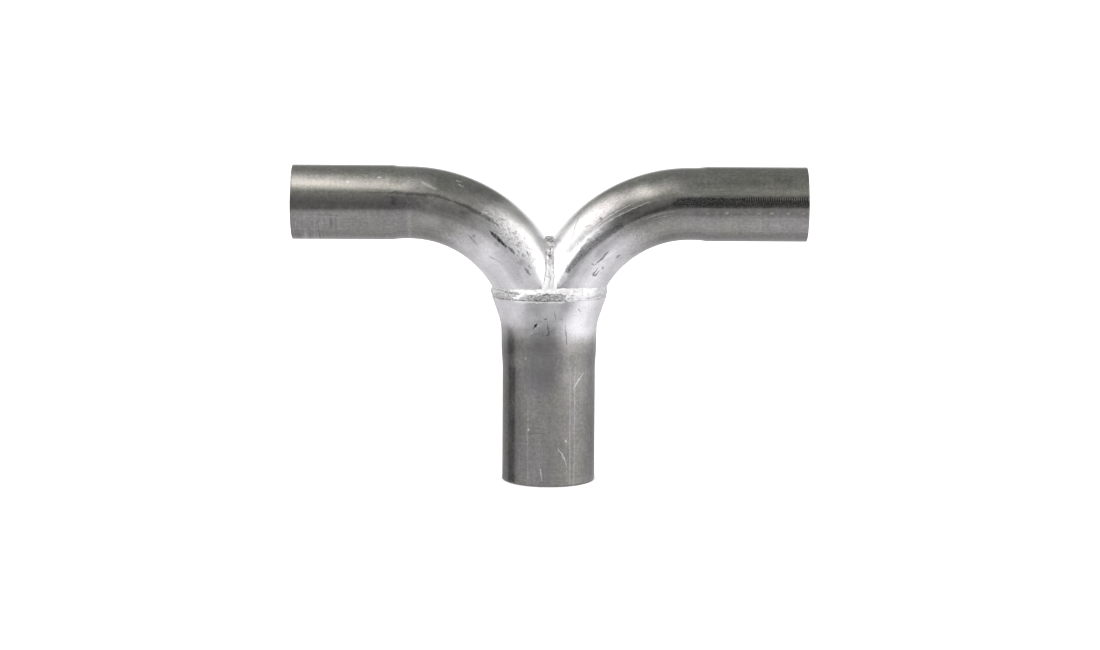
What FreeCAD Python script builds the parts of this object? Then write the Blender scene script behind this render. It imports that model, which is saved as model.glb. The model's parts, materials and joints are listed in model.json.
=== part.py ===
"""Welded pipe tee: two bent branch tubes meet over a stem tube whose top is spread into an oval socket.

Millimetres, +Z up. The origin is the centre of the stem's open end, and the branches run along X.
"""

import FreeCAD
import Part

import math
import os

# Branch tubes, each bent from one tube, whose free end is sized round after bending.
BRANCH_OD = 50.8
BRANCH_WALL = 1.6
BRANCH_SIZED_LENGTH = 68.0
BRANCH_STEP_LENGTH = 9.0
BRANCH_PLAIN_LENGTH = 2.3
BEND_RADIUS = 89.5
BEND_END_OFFSET = 5.8
BENT_HEIGHT = 49.3
BENT_DEPTH = 51.4

# Stem tube. Its lower end is sized round, and its top is spread into the oval socket.
STEM_OD = 63.5
STEM_WALL = 1.6
STEM_SIZED_LENGTH = 77.0
STEM_STEP_LENGTH = 9.0
STEM_PLAIN_LENGTH = 11.0
STEM_FORMED_OD = 65.1
SOCKET_LENGTH = 30.0
SOCKET_KNEE_LENGTH = 11.2
SOCKET_KNEE_SOFTNESS = 4.0
SOCKET_CLEARANCE = 1.5

# How the branches sit on the stem.
BRANCH_RISE = 63.5
BRANCH_INSERTION = 2.5

# Bead round the socket's rim. Its section goes from the rim's wall to the branches.
COLLAR_BEAD_HEIGHT = 6.6
COLLAR_BEAD_CROWN = 1.3
COLLAR_BEAD_LEDGE = 0.5
COLLAR_BEAD_ROOT = 1.2
COLLAR_BEAD_BITE = 0.3

# Bead along the valley between the branches.
CROTCH_BEAD_WIDTH = 7.4
CROTCH_BEAD_THICKNESS = 5.6
CROTCH_BEAD_LIFT = 0.4

# How many points and sections the free curves are drawn through.
OVAL_POINTS = 20
QUARTER_POINTS = 5
SOCKET_STATIONS = 7
COLLAR_STATIONS = 5
SEAM_STATIONS = 13
JOIN_TOLERANCE = 0.002

RIM_HEIGHT = STEM_SIZED_LENGTH + STEM_STEP_LENGTH + STEM_PLAIN_LENGTH + SOCKET_LENGTH
BRANCH_HEIGHT = RIM_HEIGHT + BRANCH_RISE
BRANCH_FOOT_HEIGHT = RIM_HEIGHT - BRANCH_INSERTION
BEND_START = BEND_RADIUS + BEND_END_OFFSET
BEND_CENTRE_HEIGHT = BRANCH_HEIGHT - BEND_RADIUS
BRANCH_REACH = BEND_START + BRANCH_PLAIN_LENGTH + BRANCH_STEP_LENGTH + BRANCH_SIZED_LENGTH

ALONG = FreeCAD.Vector(1, 0, 0)
ACROSS = FreeCAD.Vector(0, 1, 0)
UP = FreeCAD.Vector(0, 0, 1)


def closed_wire(points, shares):
    """Smooth closed curve that passes each point at its share of the way round."""
    curve = Part.BSplineCurve()
    curve.interpolate(Points=points, PeriodicFlag=True, Parameters=shares + [1.0])
    return Part.Wire([curve.toShape()])


def oval_wire(centre, first, second):
    """Smooth oval about centre, whose half axes are the vectors first and second."""
    shares = [index / OVAL_POINTS for index in range(OVAL_POINTS)]
    points = []
    for share in shares:
        angle = 2 * math.pi * share
        points.append(centre + first * math.cos(angle) + second * math.sin(angle))
    return closed_wire(points, shares)


def branch_core(inset):
    """Filled right-hand branch, before it is cut, with its surface inset inside the tube's outside."""
    round_radius = BRANCH_OD / 2 - inset
    bent_up = UP * (BENT_HEIGHT / 2 - inset)
    bent_across = ACROSS * (BENT_DEPTH / 2 - inset)
    mouth = FreeCAD.Vector(BRANCH_REACH, 0, BRANCH_HEIGHT)
    step_outer = mouth - ALONG * BRANCH_SIZED_LENGTH
    step_inner = step_outer - ALONG * BRANCH_STEP_LENGTH
    bend_start = step_inner - ALONG * BRANCH_PLAIN_LENGTH
    bend_centre = bend_start - UP * BEND_RADIUS

    sized = Part.makeCylinder(round_radius, BRANCH_SIZED_LENGTH, mouth, -ALONG)
    step_sections = [
        oval_wire(step_outer, UP * round_radius, ACROSS * round_radius),
        oval_wire(step_inner, bent_up, bent_across),
    ]
    step = Part.makeLoft(step_sections, True)
    plain = Part.Face(oval_wire(step_inner, bent_up, bent_across)).extrude(bend_start - step_inner)
    bend = Part.Face(oval_wire(bend_start, bent_up, bent_across)).revolve(bend_centre, -ACROSS, 90)
    return sized.fuse([step, plain, bend], JOIN_TOLERANCE)


def joint_side():
    """Block on the right of the mitre plane and above the branches' feet."""
    size = 2 * BRANCH_REACH
    corner = FreeCAD.Vector(0, -size / 2, BRANCH_FOOT_HEIGHT)
    return Part.makeBox(size, size, size, corner)


def mirrored(shape):
    """Left-hand copy of a right-hand shape."""
    return shape.mirror(FreeCAD.Vector(0, 0, 0), ALONG)


def cut_branch_core(inset):
    """Right-hand branch core cut at the mitre plane and at its foot."""
    return branch_core(inset).common(joint_side())


def right_branch():
    """Right-hand branch tube."""
    return cut_branch_core(0).cut(branch_core(BRANCH_WALL))


def branch_side(turn, height, margin):
    """Point beside the right-hand branch at a height and a margin outside it.

    The turn goes from its front, at minus a quarter, past its right side to its back.
    """
    reach = BEND_RADIUS - (BENT_HEIGHT / 2 + margin) * math.cos(turn)
    right = BEND_START - math.sqrt(reach**2 - (height - BEND_CENTRE_HEIGHT) ** 2)
    back = (BENT_DEPTH / 2 + margin) * math.sin(turn)
    return FreeCAD.Vector(right, back, height)


def feet_outline(height, margin):
    """Points once round both branches at a height, a margin outside them, from the front's middle."""
    half = []
    for step in range(-QUARTER_POINTS, QUARTER_POINTS + 1):
        half.append(branch_side(math.pi / 2 * step / QUARTER_POINTS, height, margin))
    front = FreeCAD.Vector(0, half[0].y, height)
    back = FreeCAD.Vector(0, half[-1].y, height)
    left = [FreeCAD.Vector(-point.x, point.y, height) for point in reversed(half)]
    return [front] + half + [back] + left


def chord_shares(points):
    """Share of the way round a closed outline at which each of its points lies."""
    lengths = [start.distanceToPoint(end) for start, end in zip(points, points[1:] + points[:1])]
    return [sum(lengths[:index]) / sum(lengths) for index in range(len(points))]


def socket_share(height):
    """How far the stem is spread at a height, from 0 at the socket's start to 1 at its rim."""
    start = RIM_HEIGHT - SOCKET_LENGTH
    knee = start + SOCKET_KNEE_LENGTH

    def spread(level):
        return level - knee + math.hypot(level - knee, SOCKET_KNEE_SOFTNESS)

    return (spread(height) - spread(start)) / (spread(RIM_HEIGHT) - spread(start))


def socket_wire(height, inset):
    """Outline of the socket at a height, between the stem's circle and the outline of the feet."""
    rim = feet_outline(RIM_HEIGHT, SOCKET_CLEARANCE + STEM_WALL - inset)
    shares = chord_shares(rim)
    radius = STEM_FORMED_OD / 2 - inset
    points = []
    for share, rim_point in zip(shares, rim):
        angle = 2 * math.pi * share
        circle_point = FreeCAD.Vector(radius * math.sin(angle), -radius * math.cos(angle), RIM_HEIGHT)
        point = circle_point + (rim_point - circle_point) * socket_share(height)
        points.append(point + UP * (height - RIM_HEIGHT))
    return closed_wire(points, shares)


def stem_core(inset):
    """Filled stem with its surface inset inside the tube's outside."""
    sized_radius = STEM_OD / 2 - inset
    formed_radius = STEM_FORMED_OD / 2 - inset
    step_start = UP * STEM_SIZED_LENGTH
    plain_start = step_start + UP * STEM_STEP_LENGTH
    sized = Part.makeCylinder(sized_radius, STEM_SIZED_LENGTH)
    step = Part.makeCone(sized_radius, formed_radius, STEM_STEP_LENGTH, step_start)
    plain = Part.makeCylinder(formed_radius, STEM_PLAIN_LENGTH, plain_start)
    sections = []
    for station in range(SOCKET_STATIONS):
        depth = SOCKET_LENGTH * (1 - station / (SOCKET_STATIONS - 1))
        sections.append(socket_wire(RIM_HEIGHT - depth, inset))
    socket = Part.makeLoft(sections, True)
    return sized.fuse([step, plain, socket], JOIN_TOLERANCE)


def stem():
    """Stem tube."""
    return stem_core(0).cut(stem_core(STEM_WALL))


def collar_bead_core():
    """Filled disc of the collar bead, whose edge is the bead's crowned face."""
    rim_margin = SOCKET_CLEARANCE + STEM_WALL - COLLAR_BEAD_LEDGE
    shares = chord_shares(feet_outline(RIM_HEIGHT, rim_margin))
    sections = [closed_wire(feet_outline(RIM_HEIGHT - COLLAR_BEAD_ROOT, rim_margin), shares)]
    for station in range(COLLAR_STATIONS):
        share = station / (COLLAR_STATIONS - 1)
        slope = rim_margin - (rim_margin + COLLAR_BEAD_BITE) * share
        crown = COLLAR_BEAD_CROWN * math.sin(math.pi * share)
        height = RIM_HEIGHT + COLLAR_BEAD_HEIGHT * share
        sections.append(closed_wire(feet_outline(height, slope + crown), shares))
    return Part.makeLoft(sections, True)


def crotch_bead_section(turn):
    """Section of the crotch bead. A turn of 0 is at the front, and of half a circle at the back."""
    half_height = BENT_HEIGHT / 2 + CROTCH_BEAD_LIFT
    half_depth = BENT_DEPTH / 2 + CROTCH_BEAD_LIFT
    reach = BEND_RADIUS + half_height * math.sin(turn)
    rise = math.sqrt(reach**2 - BEND_START**2)
    centre = FreeCAD.Vector(0, -half_depth * math.cos(turn), BEND_CENTRE_HEIGHT + rise)
    ahead = FreeCAD.Vector(0, half_depth * math.sin(turn), half_height * math.cos(turn) * reach / rise)
    outward = ahead.cross(ALONG).normalize()
    return oval_wire(centre, ALONG * CROTCH_BEAD_WIDTH / 2, outward * CROTCH_BEAD_THICKNESS / 2)


def crotch_bead_core():
    """Crotch bead as a whole rod along the seam, before the branches are taken out of it."""
    start_rise = RIM_HEIGHT + COLLAR_BEAD_HEIGHT / 2 - BEND_CENTRE_HEIGHT
    start_reach = math.hypot(BEND_START, start_rise) - BEND_RADIUS
    start_turn = math.asin(start_reach / (BENT_HEIGHT / 2 + CROTCH_BEAD_LIFT))
    sections = []
    for station in range(SEAM_STATIONS):
        share = station / (SEAM_STATIONS - 1)
        sections.append(crotch_bead_section(start_turn + (math.pi - 2 * start_turn) * share))
    return Part.makeLoft(sections, True)


def export(name, shape):
    """Writes one solid of the tee to its own file."""
    (solid,) = shape.Solids
    solid.exportStep(os.path.join("parts", name + ".step"))
    print(name, len(solid.Faces), "faces", round(solid.Volume), "mm3", "valid", solid.isValid())


def main():
    """Builds the tubes and the beads between them."""
    os.makedirs("parts", exist_ok=True)
    right_core = cut_branch_core(0)
    left_core = mirrored(right_core)
    right = right_branch()
    stem_tube = stem()
    collar_core = collar_bead_core()
    export("right_branch", right)
    export("left_branch", mirrored(right))
    export("stem", stem_tube)
    export("collar_weld", collar_core.cut([right_core, left_core, stem_tube]))
    export("crotch_weld", crotch_bead_core().cut([right_core, left_core, collar_core]))


if __name__ == "__main__":
    main()
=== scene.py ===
"""Looks of a welded pipe tee: two bent branch tubes, a stem with a spread socket, and their weld beads.

Metres, +Z up, in the frame of the CAD model: the stem stands on the floor at the origin, and the branches
run along X. The front faces -Y.
"""
import json
import logging
import math
from bisect import bisect_right
from collections.abc import Callable
from dataclasses import dataclass, field
from enum import Enum

import bmesh
import bpy
from mathutils import Matrix, Vector, noise


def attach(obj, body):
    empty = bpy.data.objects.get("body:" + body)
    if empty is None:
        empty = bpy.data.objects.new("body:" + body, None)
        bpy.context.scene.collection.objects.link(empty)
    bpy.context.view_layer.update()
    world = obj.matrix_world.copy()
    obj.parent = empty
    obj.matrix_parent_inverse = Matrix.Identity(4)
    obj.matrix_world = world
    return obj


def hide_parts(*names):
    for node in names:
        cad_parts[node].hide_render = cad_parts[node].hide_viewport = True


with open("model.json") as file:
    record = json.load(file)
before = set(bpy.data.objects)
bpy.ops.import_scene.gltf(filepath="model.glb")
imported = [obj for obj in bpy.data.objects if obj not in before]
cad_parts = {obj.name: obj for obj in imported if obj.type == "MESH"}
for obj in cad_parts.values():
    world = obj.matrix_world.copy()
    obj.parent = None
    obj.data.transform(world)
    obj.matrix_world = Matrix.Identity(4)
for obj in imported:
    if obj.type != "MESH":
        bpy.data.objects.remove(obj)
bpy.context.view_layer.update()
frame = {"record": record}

LOG = logging.getLogger("pipe_tee")
MM = 0.001
TOUCHING = 1e-6
IN_PLANE = 1e-5
SHARP_ANGLE = math.radians(38)
PLACE_ATTRIBUTE = "place"

Ring = list[bmesh.types.BMVert]
Socket = bpy.types.NodeSocket
Colour = tuple[float, float, float, float]


def mount_size(name: str, key: str) -> float:
    """Size of one of the record's mounts.

    Args:
        name: Mount's name in the record.
        key: Name of the size, in millimetres there.

    Returns:
        The size in metres.
    """
    (mount,) = [entry for entry in frame["record"]["mounts"] if entry["name"] == name]
    return mount["dims"][key] * MM


def smooth_step(low: float, high: float, value: float) -> float:
    """Eased share of the way that a value has gone from low to high.

    Args:
        low: Value at which the share is 0.
        high: Value at which the share is 1.
        value: The value.

    Returns:
        A share between 0 and 1.
    """
    share = min(1.0, max(0.0, (value - low) / (high - low)))
    return share * share * (3 - 2 * share)


def grain(point: Vector, size: float, seed: float) -> float:
    """Smooth noise between -1 and 1 at a point.

    Args:
        point: The point.
        size: Size of the noise's lumps.
        seed: Number that sets one noise apart from another.

    Returns:
        The noise.
    """
    return noise.noise(point / size + Vector((seed * 7.3, seed * 3.1, seed * 5.7)))


# Shapes that the pieces share


@dataclass(frozen=True)
class Joint:
    """Sizes that the bent branches, the spread socket and the beads share."""

    bend_radius: float = 89.5 * MM
    bend_end_offset: float = 5.8 * MM
    bent_height: float = 49.3 * MM
    bent_depth: float = 51.4 * MM
    branch_axis: float = 190.5 * MM
    rim: float = 127.0 * MM
    foot: float = 124.5 * MM
    outline_steps: int = 60

    @property
    def bend_start(self) -> float:
        """Distance along X at which a branch starts to bend."""
        return self.bend_radius + self.bend_end_offset

    @property
    def bend_centre(self) -> Vector:
        """Point that the right-hand branch bends round."""
        return Vector((self.bend_start, 0, self.branch_axis - self.bend_radius))

    def side_point(self, turn: float, height: float, margin: float) -> Vector:
        """Point beside the right-hand branch at a height.

        Args:
            turn: Angle from the branch's right side, negative towards the front.
            height: Height above the floor.
            margin: Distance outside the branch.

        Returns:
            The point.
        """
        reach = self.bend_radius - (self.bent_height / 2 + margin) * math.cos(turn)
        rise = height - self.bend_centre.z
        across = (self.bent_depth / 2 + margin) * math.sin(turn)
        return Vector((self.bend_start - math.sqrt(reach**2 - rise**2), across, height))

    def outline(self, height: float, margin: float) -> list[Vector]:
        """Points once round both branches at a height, from the front's middle.

        Args:
            height: Height above the floor.
            margin: Distance outside the branches.

        Returns:
            The points, in order, by way of the right-hand side.
        """
        steps = self.outline_steps
        turns = [math.pi / 2 * step / steps for step in range(-steps, steps + 1)]
        half = [self.side_point(turn, height, margin) for turn in turns]
        front = Vector((0, half[0].y, height))
        back = Vector((0, half[-1].y, height))
        left = [Vector((-point.x, point.y, height)) for point in reversed(half)]
        return [front] + half + [back] + left


class Walk:
    """A closed line of points that is read by the share of the way round."""

    def __init__(self, points: list[Vector]) -> None:
        """Measures the line.

        Args:
            points: Points in order, without the first one again at the end.
        """
        self.points = points + points[:1]
        self.lengths = [0.0]
        for start, end in zip(self.points, self.points[1:]):
            self.lengths.append(self.lengths[-1] + (end - start).length)

    def at(self, share: float) -> Vector:
        """Point at a share of the way round.

        Args:
            share: Share of the way round, 0 and 1 both at the start.

        Returns:
            The point.
        """
        along = (share % 1.0) * self.lengths[-1]
        index = min(bisect_right(self.lengths, along), len(self.points) - 1)
        start, end = self.lengths[index - 1], self.lengths[index]
        return self.points[index - 1].lerp(self.points[index], (along - start) / (end - start))


class PieceMesh:
    """A piece's mesh in the making."""

    def __init__(self) -> None:
        """Starts an empty mesh."""
        self.mesh = bmesh.new()

    def ring(self, segments: int, radius: float, placement: Matrix) -> Ring:
        """Adds a ring of edges.

        Args:
            segments: Number of its points.
            radius: Its radius.
            placement: Its place and direction.

        Returns:
            The ring's points, in order.
        """
        made = bmesh.ops.create_circle(
            self.mesh, cap_ends=False, segments=segments, radius=radius, matrix=placement,
        )
        return made["verts"]

    def ring_edges(self, ring: Ring) -> list[bmesh.types.BMEdge]:
        """Edges that join a ring's points to each other.

        Args:
            ring: The ring's points.

        Returns:
            The edges.
        """
        members = set(ring)
        found: dict[bmesh.types.BMEdge, None] = {}
        for vert in ring:
            for edge in vert.link_edges:
                if edge.other_vert(vert) in members:
                    found[edge] = None
        return list(found)

    def pull(self, ring: Ring, offset: Vector) -> Ring:
        """Extrudes a ring of edges.

        Args:
            ring: The ring's points.
            offset: How far the new ring lies from the old one.

        Returns:
            The new ring's points, in the same order.
        """
        made = bmesh.ops.extrude_edge_only(self.mesh, edges=self.ring_edges(ring))
        fresh = [item for item in made["geom"] if isinstance(item, bmesh.types.BMVert)]
        members = set(ring)
        partner = {}
        for vert in fresh:
            for edge in vert.link_edges:
                other = edge.other_vert(vert)
                if other in members:
                    partner[other] = vert
        bmesh.ops.translate(self.mesh, verts=fresh, vec=offset)
        return [partner[vert] for vert in ring]

    def scale_ring(self, ring: Ring, centre: Vector, scale: Vector) -> None:
        """Scales a ring about a centre."""
        bmesh.ops.scale(self.mesh, verts=ring, vec=scale, space=Matrix.Translation(-centre))

    def cut(self, place: Vector, outside: Vector) -> None:
        """Cuts off what lies beyond a plane.

        Args:
            place: A point of the plane.
            outside: Direction of the side that goes.
        """
        everything = self.mesh.verts[:] + self.mesh.edges[:] + self.mesh.faces[:]
        bmesh.ops.bisect_plane(
            self.mesh, geom=everything, dist=TOUCHING, plane_co=place, plane_no=outside, clear_outer=True,
        )

    def face_out(self, axis_point: Vector) -> None:
        """Points all faces of a tube's skin away from its axis.

        Args:
            axis_point: A point on the axis at the tube's mouth.
        """
        bmesh.ops.recalc_face_normals(self.mesh, faces=self.mesh.faces[:])
        nearest = min(self.mesh.faces, key=lambda face: (face.calc_center_median() - axis_point).length)
        if nearest.normal.dot(nearest.calc_center_median() - axis_point) < 0:
            bmesh.ops.reverse_faces(self.mesh, faces=self.mesh.faces[:])

    def wall(self, thickness: float) -> None:
        """Gives a skin its wall, inwards."""
        bmesh.ops.solidify(self.mesh, geom=self.mesh.faces[:], thickness=thickness)

    def round_end(self, place: Vector, facing: Vector, size: float) -> None:
        """Breaks the sharp edges of a flat end.

        Args:
            place: A point in the plane of the end.
            facing: That plane's normal.
            size: Size of the broken edge.
        """
        rim = {vert for vert in self.mesh.verts if abs((vert.co - place).dot(facing)) < IN_PLANE}
        edges = []
        for edge in self.mesh.edges:
            if edge.verts[0] in rim and edge.verts[1] in rim and len(edge.link_faces) == 2:
                flat = [all(vert in rim for vert in face.verts) for face in edge.link_faces]
                if flat[0] != flat[1]:
                    edges.append(edge)
        bmesh.ops.bevel(
            self.mesh, geom=edges, offset=size, offset_type="OFFSET", segments=3, profile=0.5,
            affect="EDGES", material=-1,
        )

    def finish(self, name: str, node: str, material: bpy.types.Material) -> bpy.types.Object:
        """Turns the mesh into a piece that stands for a CAD node.

        Args:
            name: The piece's name.
            node: The CAD node that it stands for.
            material: Its material.

        Returns:
            The piece.
        """
        data = bpy.data.meshes.new(name)
        self.mesh.to_mesh(data)
        self.mesh.free()
        data.shade_smooth()
        data.set_sharp_from_angle(angle=SHARP_ANGLE)
        data.materials.append(material)
        piece = bpy.data.objects.new(name, data)
        bpy.context.scene.collection.objects.link(piece)
        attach(piece, "root")
        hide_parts(node)
        LOG.info("%s stands for %s with %d faces", name, node, len(data.polygons))
        return piece


def store_place(data: bpy.types.Mesh, place: Callable[[Vector], Vector]) -> None:
    """Keeps each point's place along and across its tube, in millimetres, so that marks follow the tube.

    Args:
        data: The piece's mesh.
        place: Function from a point to its place.
    """
    attribute = data.attributes.new(PLACE_ATTRIBUTE, "FLOAT_VECTOR", "POINT")
    for index, vertex in enumerate(data.vertices):
        attribute.data[index].vector = place(vertex.co) / MM


# Shader wiring and the effects that several materials use


class Wiring:
    """Adds shader nodes to a tree and joins them."""

    def __init__(self, tree: bpy.types.NodeTree) -> None:
        """Works on a material's, group's or world's tree."""
        self.tree = tree

    def feed(self, target: Socket, value: object) -> None:
        """Gives an input a value, or the output of another node."""
        if isinstance(value, bpy.types.NodeSocket):
            self.tree.links.new(value, target)
        else:
            target.default_value = value

    def feed_named(self, node: bpy.types.Node, inputs: dict[str, object]) -> bpy.types.Node:
        """Feeds a node's inputs by name, with underscores for spaces, and hands the node back."""
        for name, value in inputs.items():
            self.feed(node.inputs[name.replace("_", " ")], value)
        return node

    def node(self, kind: str, **inputs: object) -> bpy.types.Node:
        """Adds a node and feeds its named inputs."""
        return self.feed_named(self.tree.nodes.new(kind), inputs)

    def group(self, tree: bpy.types.NodeTree, **inputs: object) -> bpy.types.Node:
        """Places a node group and feeds its named inputs."""
        made = self.tree.nodes.new("ShaderNodeGroup")
        made.node_tree = tree
        return self.feed_named(made, inputs)

    def calculation(self, kind: str, operation: str, values: tuple[object, ...]) -> bpy.types.Node:
        """Adds a Math or Vector Math node.

        Args:
            kind: Name of the node's type.
            operation: The node's operation.
            values: Its inputs, in order.

        Returns:
            The node.
        """
        made = self.tree.nodes.new(kind)
        made.operation = operation
        for target, value in zip(made.inputs, values):
            self.feed(target, value)
        return made

    def math(self, operation: str, *values: object) -> Socket:
        """Result of a Math node."""
        return self.calculation("ShaderNodeMath", operation, values).outputs["Value"]

    def product(self, *values: object) -> Socket:
        """Product of several values."""
        result = values[0]
        for value in values[1:]:
            result = self.math("MULTIPLY", result, value)
        return result

    def total(self, *values: object) -> Socket:
        """Sum of several values."""
        result = values[0]
        for value in values[1:]:
            result = self.math("ADD", result, value)
        return result

    def layered(self, *layers: tuple[object, object]) -> Socket:
        """Sum of several values, each times its own share."""
        return self.total(*[self.math("MULTIPLY", value, share) for value, share in layers])

    def distance(self, *parts: object) -> Socket:
        """Length of a line, from its parts along each axis."""
        return self.math("SQRT", self.total(*[self.product(part, part) for part in parts]))

    def vector(self, operation: str, *values: object) -> bpy.types.Node:
        """Vector Math node."""
        return self.calculation("ShaderNodeVectorMath", operation, values)

    def stretch(self, place: object, scale: tuple[float, float, float]) -> Socket:
        """Place, stretched along each axis."""
        return self.vector("MULTIPLY", place, scale).outputs["Vector"]

    def split(self, place: object) -> tuple[Socket, Socket, Socket]:
        """X, Y and Z of a place."""
        made = self.node("ShaderNodeSeparateXYZ", Vector=place)
        return tuple(made.outputs)

    def remap(
        self, value: object, low: object, high: object, start: float = 0.0, end: float = 1.0,
    ) -> Socket:
        """Eased remap of a value.

        Args:
            value: The value.
            low: Value that gives the start.
            high: Value that gives the end.
            start: Result at low.
            end: Result at high.

        Returns:
            The result.
        """
        made = self.tree.nodes.new("ShaderNodeMapRange")
        made.interpolation_type = "SMOOTHSTEP"
        made.clamp = False
        inputs = {"Value": value, "From Min": low, "From Max": high, "To Min": start, "To Max": end}
        return self.feed_named(made, inputs).outputs["Result"]

    def curve(self, value: object, stops: dict[float, float]) -> Socket:
        """Result that goes evenly from stop to stop.

        Args:
            value: The value.
            stops: Result by value, from the lowest value to the highest.

        Returns:
            The result.
        """
        places = list(stops)
        top = max(stops.values())
        share = self.math("DIVIDE", self.math("SUBTRACT", value, places[0]), places[-1] - places[0])
        made = self.node("ShaderNodeValToRGB", Fac=share)
        elements = made.color_ramp.elements
        while len(elements) < len(places):
            elements.new(0.5)
        for element, place in zip(elements, places):
            element.position = (place - places[0]) / (places[-1] - places[0])
            level = stops[place] / top
            element.color = (level, level, level, 1)
        return self.math("MULTIPLY", made.outputs["Color"], top)

    def noise(self, place: object, scale: float, detail: float = 2.0, roughness: float = 0.5) -> Socket:
        """Value, about 0 to 1, of a Noise Texture."""
        made = self.node("ShaderNodeTexNoise", Vector=place, Scale=scale, Detail=detail, Roughness=roughness)
        return made.outputs["Fac"]

    def sway(self, place: object, scale: float, detail: float = 3.0, roughness: float = 0.6) -> Socket:
        """Value, about -0.5 to 0.5, of a Noise Texture."""
        return self.math("SUBTRACT", self.noise(place, scale, detail, roughness), 0.5)

    def blend(self, share: object, first: object, second: object) -> Socket:
        """Mix of two values.

        Args:
            share: Share of the second one.
            first: Value at share 0.
            second: Value at share 1.

        Returns:
            The mix.
        """
        made = self.tree.nodes.new("ShaderNodeMix")
        made.data_type = "FLOAT"
        for target, value in ((0, share), (2, first), (3, second)):
            self.feed(made.inputs[target], value)
        return made.outputs[0]

    def blend_colour(self, share: object, first: object, second: object, how: str = "MIX") -> Socket:
        """Mix of two colours.

        Args:
            share: Share of the second one.
            first: Colour at share 0.
            second: Colour that comes over it.
            how: The mixing mode.

        Returns:
            The mix.
        """
        made = self.tree.nodes.new("ShaderNodeMix")
        made.data_type = "RGBA"
        made.blend_type = how
        for target, value in ((0, share), (6, first), (7, second)):
            self.feed(made.inputs[target], value)
        return made.outputs[2]

    def grey(self, value: object) -> Socket:
        """Grey colour of a value."""
        return self.node("ShaderNodeCombineColor", Red=value, Green=value, Blue=value).outputs["Color"]

    def place(self) -> Socket:
        """The surface's place along and round its tube, in millimetres."""
        made = self.tree.nodes.new("ShaderNodeAttribute")
        made.attribute_name = PLACE_ATTRIBUTE
        return made.outputs["Vector"]

    def position(self) -> Socket:
        """The surface's place in the object's frame, in metres."""
        return self.tree.nodes.new("ShaderNodeTexCoord").outputs["Object"]

    def raise_surface(self, shader: bpy.types.Node, height: Socket) -> None:
        """Bumps a shader's surface by a height in millimetres."""
        bump = self.node("ShaderNodeBump", Strength=1.0, Distance=MM, Height=height)
        self.feed(shader.inputs["Normal"], bump.outputs["Normal"])


def new_material(name: str) -> tuple[bpy.types.Material, Wiring, bpy.types.Node]:
    """Makes a material with nodes.

    Args:
        name: The material's name.

    Returns:
        The material, its wiring and its Principled shader.
    """
    material = bpy.data.materials.new(name)
    material.use_nodes = True
    return material, Wiring(material.node_tree), material.node_tree.nodes["Principled BSDF"]


class Effect:
    """A node group that several materials use."""

    def __init__(self, name: str, inputs: dict[str, str], outputs: dict[str, str]) -> None:
        """Makes an empty group.

        Args:
            name: The group's name.
            inputs: Kind of socket by input name, such as Float, Vector or Color.
            outputs: Kind of socket by output name.
        """
        self.tree = bpy.data.node_groups.new(name, "ShaderNodeTree")
        for direction, sockets in (("INPUT", inputs), ("OUTPUT", outputs)):
            for label, kind in sockets.items():
                socket_type = f"NodeSocket{kind}"
                self.tree.interface.new_socket(name=label, in_out=direction, socket_type=socket_type)
        self.wiring = Wiring(self.tree)
        self.inputs = self.tree.nodes.new("NodeGroupInput").outputs
        self.outputs = self.tree.nodes.new("NodeGroupOutput").inputs

    def give(self, name: str, value: Socket) -> None:
        """Feeds one of the group's outputs."""
        self.wiring.feed(self.outputs[name], value)


def drawn_line_effect() -> bpy.types.NodeTree:
    """Group that draws one straight stretch of a line on a tube, such as a wear mark, a painted reflection
    or a painted highlight.

    Returns:
        The group, whose mask is 1 in the line.
    """
    inputs = {
        "Place": "Vector", "Start": "Vector", "End": "Vector", "Start Width": "Float", "End Width": "Float",
    }
    effect = Effect("Scratch", inputs, {"Mask": "Float"})
    wiring, given = effect.wiring, effect.inputs
    run = wiring.vector("SUBTRACT", given["End"], given["Start"]).outputs["Vector"]
    gone = wiring.vector("SUBTRACT", given["Place"], given["Start"]).outputs["Vector"]
    along = wiring.vector("DOT_PRODUCT", gone, run).outputs["Value"]
    share = wiring.math("DIVIDE", along, wiring.vector("DOT_PRODUCT", run, run).outputs["Value"])
    share = wiring.math("MINIMUM", wiring.math("MAXIMUM", share, 0.0), 1.0)
    nearest = wiring.node("ShaderNodeVectorMath", Vector=run)
    nearest.operation = "SCALE"
    wiring.feed(nearest.inputs["Scale"], share)
    aside = wiring.vector("DISTANCE", gone, nearest.outputs["Vector"]).outputs["Value"]
    width = wiring.blend(share, given["Start Width"], given["End Width"])
    effect.give("Mask", wiring.remap(wiring.math("DIVIDE", aside, width), 0.3, 1.0, 1.0, 0.0))
    return effect.tree


def patch_effect() -> bpy.types.NodeTree:
    """Group that draws one soft oval patch on a tube.

    Returns:
        The group, whose mask is 1 in the patch's middle.
    """
    inputs = {"Place": "Vector", "Centre": "Vector", "Reach": "Vector"}
    effect = Effect("Patch", inputs, {"Mask": "Float"})
    wiring, given = effect.wiring, effect.inputs
    away = wiring.vector("SUBTRACT", given["Place"], given["Centre"]).outputs["Vector"]
    share = wiring.vector("DIVIDE", away, given["Reach"]).outputs["Vector"]
    effect.give("Mask", wiring.remap(wiring.vector("LENGTH", share).outputs["Value"], 0.3, 1.0, 1.0, 0.0))
    return effect.tree


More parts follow.
